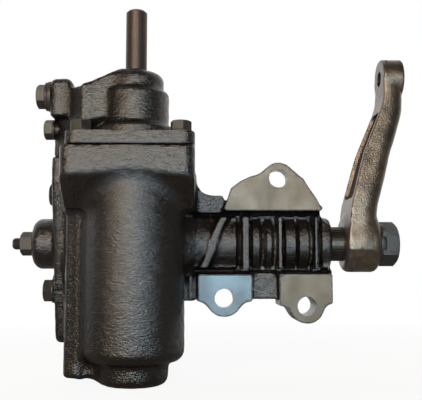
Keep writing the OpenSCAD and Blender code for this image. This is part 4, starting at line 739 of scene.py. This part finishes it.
def plain_finish(name, first, second, rough, metallic, cloud, grain, depth):
    """Material of one kind all over, from the two-tone group: two colours, two roughnesses, the
    scale of its clouds, and the scale of its grain and the depth of that in metres."""
    made, tree, surface = new_material(name)
    box = use_group(tree, two_tone, {
        "First": colour(*first), "Second": colour(*second), "Cloud Scale": cloud,
        "Low Roughness": rough[0], "High Roughness": rough[1], "Grain Scale": grain,
        "Grain Depth": depth})
    for key, socket in (("Color", "Base Color"), ("Roughness", "Roughness"), ("Normal", "Normal")):
        tree.links.new(box.outputs[key], surface.inputs[socket])
    surface.inputs["Metallic"].default_value = metallic
    return made


# Places of a Mix node's two inputs and of its result, for each kind of data
MIX_SOCKETS = {"RGBA": (6, 7, 2), "FLOAT": (2, 3, 0), "VECTOR": (4, 5, 1)}


def painted_casting(name, bare_face=False):
    """Gloss black paint on a sand casting. With bare_face, what lies in the plane of the pads is
    milled bare metal, with a painted warm reflection that grows towards the right and a painted cool
    reflection, bluish, on the lower left pad."""
    made, tree, surface = new_material(name)
    # the crest colour is a painted glint: a lighter brown on the crests of the grain
    box = use_group(tree, cast_skin, {
        "Valley": colour(0.005, 0.0036, 0.003), "Painted Glint": colour(0.012, 0.008, 0.0055),
        "Grain Scale": 700.0, "Grain Depth": 0.0007, "Low Roughness": 0.12, "High Roughness": 0.18})
    surface.inputs["Specular IOR Level"].default_value = 0.7
    sockets = {key: box.outputs[key] for key in ("Color", "Roughness", "Normal")}
    if bare_face:
        at = tree.nodes.new("ShaderNodeSeparateXYZ")
        tree.links.new(place(tree), at.inputs[0])
        depth = node(tree, "ShaderNodeAttribute", attribute_name="pad_depth")
        bare = node(tree, "ShaderNodeMapRange", {"Value": depth.outputs["Fac"], "From Min": -0.9,
                                                 "From Max": -1.15}).outputs["Result"]
        metal = use_group(tree, two_tone, {
            "First": colour(0.112, 0.097, 0.077), "Second": colour(0.1, 0.086, 0.067),
            "Cloud Scale": 55.0, "Low Roughness": 0.42, "High Roughness": 0.52,
            "Grain Scale": 1500.0, "Grain Depth": 0.00004})
        # painted cool reflection: the lower left pad is tinted bluish
        left = node(tree, "ShaderNodeMapRange", {"Value": at.outputs["X"], "From Min": -0.012,
                                                 "From Max": -0.018})
        low = node(tree, "ShaderNodeMapRange", {"Value": at.outputs["Z"], "From Min": -0.06,
                                                "From Max": -0.07})
        cool_reflection_share = node(tree, "ShaderNodeMath", {0: left.outputs["Result"], 1: low.outputs["Result"]},
                    operation="MULTIPLY")
        tint = node(tree, "ShaderNodeMix", {"Factor": cool_reflection_share.outputs[0]}, data_type="RGBA")
        # painted warm reflection: the bare metal grows warmer towards the right
        right = node(tree, "ShaderNodeMapRange", {"Value": at.outputs["X"], "From Min": -0.02,
                                                  "From Max": 0.045})
        painted_warm_reflection = node(tree, "ShaderNodeMix", {"Factor": right.outputs["Result"]}, data_type="RGBA")
        tree.links.new(metal.outputs["Color"], painted_warm_reflection.inputs[6])
        painted_warm_reflection.inputs[7].default_value = colour(0.108, 0.083, 0.057)
        tree.links.new(painted_warm_reflection.outputs[2], tint.inputs[6])
        tint.inputs[7].default_value = colour(0.108, 0.136, 0.153)
        metal_sockets = {"Color": tint.outputs[2], "Roughness": metal.outputs["Roughness"],
                         "Normal": metal.outputs["Normal"]}
        for key, kind in (("Color", "RGBA"), ("Roughness", "FLOAT"), ("Normal", "VECTOR")):
            first, second, result = MIX_SOCKETS[kind]
            mixed = node(tree, "ShaderNodeMix", data_type=kind)
            tree.links.new(bare, mixed.inputs[0])
            tree.links.new(sockets[key], mixed.inputs[first])
            tree.links.new(metal_sockets[key], mixed.inputs[second])
            sockets[key] = mixed.outputs[result]
        metallic = node(tree, "ShaderNodeMath", {0: bare, 1: 0.85}, operation="MULTIPLY")
        tree.links.new(metallic.outputs[0], surface.inputs["Metallic"])
    for key, socket in (("Color", "Base Color"), ("Roughness", "Roughness"), ("Normal", "Normal")):
        tree.links.new(sockets[key], surface.inputs[socket])
    return made


def paint_arm_sheen_and_shade(made):
    """Forging whose face towards the housing is painted a lighter grey, a painted reflection, and the
    floor of the recess in it painted dark, a painted shade, told apart by the depth below that face."""
    tree = made.node_tree
    surface = tree.nodes["Principled BSDF"]
    given = surface.inputs["Base Color"].links[0].from_socket
    depth = node(tree, "ShaderNodeAttribute", attribute_name="near_face_depth").outputs["Fac"]
    # painted reflection: the near face is a lighter grey; painted shade: the recess floor is darker
    for at, end, shade in ((1.0, 0.4, colour(0.17, 0.145, 0.14)), (2.6, 3.2, None)):
        share = node(tree, "ShaderNodeMapRange", {"Value": depth, "From Min": at, "From Max": end})
        if shade is None:
            deep = node(tree, "ShaderNodeMapRange", {"Value": depth, "From Min": 4.6,
                                                     "From Max": 4.2})
            share = node(tree, "ShaderNodeMath", {0: share.outputs[0], 1: deep.outputs[0]},
                         operation="MULTIPLY")
            shade = colour(0.045, 0.036, 0.03)
        mixed = node(tree, "ShaderNodeMix", {"Factor": share.outputs[0]}, data_type="RGBA")
        tree.links.new(given, mixed.inputs[6])
        mixed.inputs[7].default_value = shade
        given = mixed.outputs[2]
    tree.links.new(given, surface.inputs["Base Color"])
    metallic = node(tree, "ShaderNodeMapRange", {"Value": share.outputs[0], "To Min": 0.8,
                                                 "To Max": 0.0})
    tree.links.new(metallic.outputs["Result"], surface.inputs["Metallic"])
    rough = node(tree, "ShaderNodeMapRange", {"Value": share.outputs[0], "To Min": 0.3,
                                              "To Max": 0.9})
    tree.links.new(rough.outputs["Result"], surface.inputs["Roughness"])


paint = painted_casting("black_casting")
paint_bare = painted_casting("black_casting_with_bare_pads", True)
fastener_black = plain_finish(
    "fastener_black", (0.016, 0.013, 0.011), (0.035, 0.028, 0.022), rough=(0.38, 0.55),
    metallic=0.0, cloud=90, grain=700, depth=0.00015)
dark_steel = plain_finish(
    "dark_steel", (0.035, 0.032, 0.028), (0.055, 0.048, 0.04), rough=(0.35, 0.5),
    metallic=0.5, cloud=80, grain=900, depth=0.00008)
forged_bronze = plain_finish(
    "forged_bronze", (0.18, 0.14, 0.10), (0.085, 0.068, 0.055), rough=(0.24, 0.34),
    metallic=0.8, cloud=70, grain=1000, depth=0.0003)
input_brown = plain_finish(
    "input_brown", (0.075, 0.054, 0.043), (0.05, 0.036, 0.03), rough=(0.32, 0.42),
    metallic=0.5, cloud=40, grain=1300, depth=0.00005)
arm_with_painted_light = forged_bronze.copy()
paint_arm_sheen_and_shade(arm_with_painted_light)
nut_black = plain_finish(
    "nut_black", (0.024, 0.023, 0.020), (0.034, 0.031, 0.027), rough=(0.34, 0.46),
    metallic=0.35, cloud=70, grain=800, depth=0.00008)
shaft_steel = plain_finish(
    "shaft_steel", (0.07, 0.058, 0.045), (0.04, 0.032, 0.026), rough=(0.3, 0.42),
    metallic=0.7, cloud=70, grain=1200, depth=0.00008)
bright_steel = plain_finish(
    "bright_steel", (0.62, 0.62, 0.62), (0.54, 0.54, 0.55), rough=(0.2, 0.3),
    metallic=1.0, cloud=50, grain=1500, depth=0.00002)
bearing_steel = plain_finish(
    "bearing_steel", (0.74, 0.74, 0.74), (0.68, 0.68, 0.69), rough=(0.1, 0.16),
    metallic=1.0, cloud=60, grain=1500, depth=0.00001)
seal_black = plain_finish(
    "seal_black", (0.012, 0.012, 0.012), (0.02, 0.02, 0.02), rough=(0.55, 0.7),
    metallic=0.0, cloud=60, grain=900, depth=0.00005)
ring_ptfe = plain_finish(
    "ring_ptfe", (0.36, 0.22, 0.1), (0.32, 0.19, 0.08), rough=(0.5, 0.6),
    metallic=0.0, cloud=60, grain=900, depth=0.00003)
gasket_grey = plain_finish(
    "gasket_grey", (0.05, 0.05, 0.048), (0.07, 0.07, 0.065), rough=(0.75, 0.85),
    metallic=0.0, cloud=80, grain=600, depth=0.00008)

SLOT_FINISH = {"cast_black": paint, "dark_steel": dark_steel, "forged": forged_bronze,
               "bright_steel": bright_steel, "bar_steel": bright_steel,
               "bearing_steel": bearing_steel, "seal_black": seal_black, "ring_ptfe": ring_ptfe,
               "gasket_grey": gasket_grey, "input_steel": input_brown}

# Build

for part in frame["record"]["subparts"]:
    mesh = nodes[part["node"]].data
    mesh.materials.clear()
    mesh.materials.append(SLOT_FINISH[part["material_slot"]])


def dress(obj, finish, body, slot, *replaced):
    """Gives a piece its material and its body, and hides the CAD nodes that it stands for.
    The slot is not used.
    """
    obj.data.materials.clear()
    obj.data.materials.append(finish)
    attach(obj, body)
    if replaced:
        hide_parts(*replaced)
    return obj


housing = skin("gear_housing_casting", gear_casting, (-60, -94, -108), (160, 54, 70), 1.3, 0.6,
               (79, 149, 0.65))
dress(mark(housing, "pad_depth", pad_depth), paint_bare, "housing", "cast_black", "gear_housing")
dress(skin("valve_housing_casting", valve_casting, (-68, -94, 66), (48, -1, 132), 1.0, 0.8),
      paint, "housing", "cast_black", "valve_housing")
dress(skin("side_cover_casting", cover_casting, (-90, -42, -82), (-57, 52, 70), 1.0, 0.9),
      paint, "housing", "cast_black", "side_cover")
arm = skin("forged_pitman_arm", forged_arm, (166, -25, -25), (223, 25, 159), 0.9)
dress(mark(arm, "near_face_depth", near_face_depth), arm_with_painted_light, "sector", "forged", "pitman_arm")

VALVE_BOLT_TURN, COVER_BOLT_TURN = math.radians(12), math.radians(30)
PRESSURE_PORT, RETURN_PORT, PASSAGE = (0, -40, 114), (-20, 0, 96), (0, -28, 90)

heads = [headed_bolt("bolt", "z", (bolt_x, bolt_y, 0), 78, 1, SMALL_HEAD, VALVE_BOLT_TURN, 22)
         for bolt_x, bolt_y in VALVE_BOLTS]
dress(join("valve_housing_bolt_heads", heads), fastener_black, "housing", "dark_steel",
      "valve_housing_bolts")
heads = [headed_bolt("bolt", "x", (0, bolt_y, bolt_z), -66.5, -1, COVER_HEAD, COVER_BOLT_TURN, 17.8)
         for bolt_y, bolt_z in cover_bolts()]
dress(join("side_cover_bolt_heads", heads), fastener_black, "housing", "dark_steel",
      "side_cover_bolts")
dress(headed_bolt("passage_plug_head", "x", PASSAGE, -66, -1, SMALL_HEAD, 0.0, 9.8),
      fastener_black, "housing", "dark_steel", "passage_plug")
heads = [headed_bolt("plug", "x", PRESSURE_PORT, -69.4, -1, PORT_HEAD, 0.0, 9.2),
         headed_bolt("plug", "y", RETURN_PORT, -20.6, 1, PORT_HEAD, 0.0, 9.2)]
dress(join("port_plug_heads", heads), fastener_black, "housing", "dark_steel", "port_plugs")
parts = [turned("washer", "x", PRESSURE_PORT, washer(-66, -1, 12, 3.4, 1.2)),
         turned("washer", "y", RETURN_PORT, washer(-24, 1, 12, 3.4, 1.2))]
dress(join("port_plug_washers", parts), fastener_black, "housing", "dark_steel", "port_washers")
dress(turned("adjuster_lock_nut", "x", (0, 0, 0), hexagon_head(-87.7, -1, 17, 9.8), 6, 17),
      fastener_black, "housing", "dark_steel", "lock_nut")
parts = [turned("collar", "x", (0, 0, 0), washer(199.2, 1, 17, 3, 0.8)),
         turned("nut", "x", (0, 0, 0), hexagon_head(199.2, 1, 32, 14), 6, 32)]
dress(join("pitman_nut_and_collar", parts), nut_black, "sector", "dark_steel", "pitman_nut")
nodes["sector_shaft"].data.materials[0] = shaft_steel
parts = [threaded_rod("thread", -104.3, -76.2, 5, 1.5, 0.7),
         turned("head", "x", (0, 0, 0), washer(-76.2, 1, 7.4, 4), steps=48)]
dress(join("adjusting_screw_thread", parts), fastener_black, "housing", "dark_steel",
      "adjusting_screw")

# Floor, light and camera

FLOOR_Z = -0.1585
PHOTO_LENS = 59.97
CAMERA_PLACE = (-0.06682061, -0.55847358, -0.07184236)
CAMERA_YAW, CAMERA_PITCH = 1.2977, 5.5249
LAMP_TARGET = Vector((-0.07, 0.0, -0.04))
# Lamps: azimuth and elevation in degrees, distance, size in metres, watts, tint
LAMPS = {"cool_window": (9, -2, 1.3, (0.5, 0.4), 12, (0.58, 0.82, 1.0)),
         "warm_lamp": (-29, 5, 1.3, (0.34, 0.9), 10, (1.0, 0.82, 0.6)),
         "warm_ceiling": (-4, 17, 1.3, (0.9, 0.42), 8.4, (1.0, 0.84, 0.66)),
         "cool_table": (0, 0, 0.3, (0.44, 0.16), 0.7, (0.55, 0.8, 1.0))}
TABLE_PLACE = (-0.04, -0.36, FLOOR_Z + 0.004)  # this lamp lies on the floor and shines upwards


def make_floor():
    """Pale round floor, bowed up a little at its far rim: height grows with the square of the
    distance past one metre. It shows as white to the camera and in reflections."""
    rings, steps = 24, 64
    radius = np.concatenate([[0.0], np.linspace(0.02, 6, rings - 1)])
    angle = np.arange(steps) * 2 * np.pi / steps
    x, y = radius[:, None] * np.cos(angle), radius[:, None] * np.sin(angle)
    z = np.broadcast_to(FLOOR_Z + 0.02 * np.maximum(radius - 1, 0)[:, None] ** 2, x.shape)
    obj = make_mesh("floor", np.stack([x, y, z], -1).reshape(-1, 3), grid_faces(rings, steps))
    close_poles(obj)
    smooth(obj)
    made, tree, surface = new_material("pale_floor")
    tree.nodes.remove(surface)
    path = tree.nodes.new("ShaderNodeLightPath")
    at = tree.nodes.new("ShaderNodeSeparateXYZ")
    tree.links.new(place(tree), at.inputs[0])
    across = node(tree, "ShaderNodeVectorMath", {0: place(tree)}, operation="LENGTH")
    far = node(tree, "ShaderNodeMapRange", {"Value": across.outputs["Value"], "From Min": 0.15,
                                            "From Max": 0.7, "To Min": 0.9, "To Max": 1.0})
    behind = node(tree, "ShaderNodeMapRange", {"Value": at.outputs["Y"], "From Min": 0.2,
                                               "From Max": 1.2, "To Min": 0.0, "To Max": 0.9})
    shown = node(tree, "ShaderNodeMath", {0: path.outputs["Is Camera Ray"],
                                          1: far.outputs["Result"]}, operation="MULTIPLY")
    mirrored = node(tree, "ShaderNodeMath", {0: path.outputs["Is Glossy Ray"],
                                             1: behind.outputs["Result"]}, operation="MULTIPLY")
    share = node(tree, "ShaderNodeMath", {0: shown.outputs[0], 1: mirrored.outputs[0]},
                 operation="ADD")
    tone = node(tree, "ShaderNodeMapRange", {"Value": path.outputs["Is Camera Ray"], "To Min": 0.3,
                                             "To Max": 0.86})
    pale = node(tree, "ShaderNodeBsdfDiffuse", {"Color": tone.outputs["Result"]})
    white = node(tree, "ShaderNodeEmission", {"Color": colour(1, 1, 1), "Strength": 1.0})
    both = node(tree, "ShaderNodeMixShader", {0: share.outputs[0], 1: pale.outputs[0],
                                              2: white.outputs[0]})
    tree.links.new(both.outputs[0], tree.nodes["Material Output"].inputs["Surface"])
    obj.data.materials.append(made)


def make_world():
    """Studio: white to the camera, bright behind the object, dim towards the photographer."""
    world = bpy.data.worlds.new("studio")
    bpy.context.scene.world = world
    world.use_nodes = True
    tree = world.node_tree
    tree.nodes.clear()
    out = tree.nodes.new("ShaderNodeOutputWorld")
    path = tree.nodes.new("ShaderNodeLightPath")
    at = tree.nodes.new("ShaderNodeSeparateXYZ")
    tree.links.new(tree.nodes.new("ShaderNodeTexCoord").outputs["Generated"], at.inputs[0])
    room = node(tree, "ShaderNodeMapRange", {"Value": at.outputs["Y"], "From Min": -0.12,
                                             "From Max": 0.5, "To Min": 0.015, "To Max": 1.0})
    dim = node(tree, "ShaderNodeBackground", {"Color": colour(1.0, 0.98, 0.95),
                                              "Strength": room.outputs["Result"]})
    white = node(tree, "ShaderNodeBackground", {"Color": colour(1, 1, 1), "Strength": 1.0})
    both = node(tree, "ShaderNodeMixShader", {0: path.outputs["Is Camera Ray"], 1: dim.outputs[0],
                                              2: white.outputs[0]})
    tree.links.new(both.outputs[0], out.inputs["Surface"])


def add_lamp(name, azimuth, elevation, distance, size, watts, tint):
    """Soft rectangular lamp that faces the object; azimuth 0 is the camera's side, to the right
    is positive."""
    lamp = bpy.data.lights.new(name, "AREA")
    lamp.shape, lamp.size, lamp.size_y = "RECTANGLE", size[0], size[1]
    lamp.energy, lamp.color = watts, tint
    obj = bpy.data.objects.new(name, lamp)
    bpy.context.scene.collection.objects.link(obj)
    a, e = math.radians(azimuth), math.radians(elevation)
    away = Vector((math.sin(a) * math.cos(e), -math.cos(a) * math.cos(e), math.sin(e)))
    obj.location = LAMP_TARGET + away * distance
    obj.rotation_euler = away.to_track_quat("Z", "Y").to_euler()
    return obj


def make_camera():
    """Camera at the place and angle worked out from the photograph's perspective."""
    camera = bpy.data.cameras.new("camera")
    camera.lens, camera.sensor_width = PHOTO_LENS, 36
    obj = bpy.data.objects.new("camera", camera)
    bpy.context.scene.collection.objects.link(obj)
    obj.location = CAMERA_PLACE
    obj.rotation_euler = (math.radians(90 + CAMERA_PITCH), 0, math.radians(-CAMERA_YAW))
    bpy.context.scene.camera = obj


make_floor()
make_world()
lamps = {name: add_lamp(name, *values) for name, values in LAMPS.items()}
lamps["cool_table"].location = TABLE_PLACE
lamps["cool_table"].rotation_euler = (math.pi, 0, 0)
make_camera()
bpy.context.scene.view_settings.view_transform = "Standard"
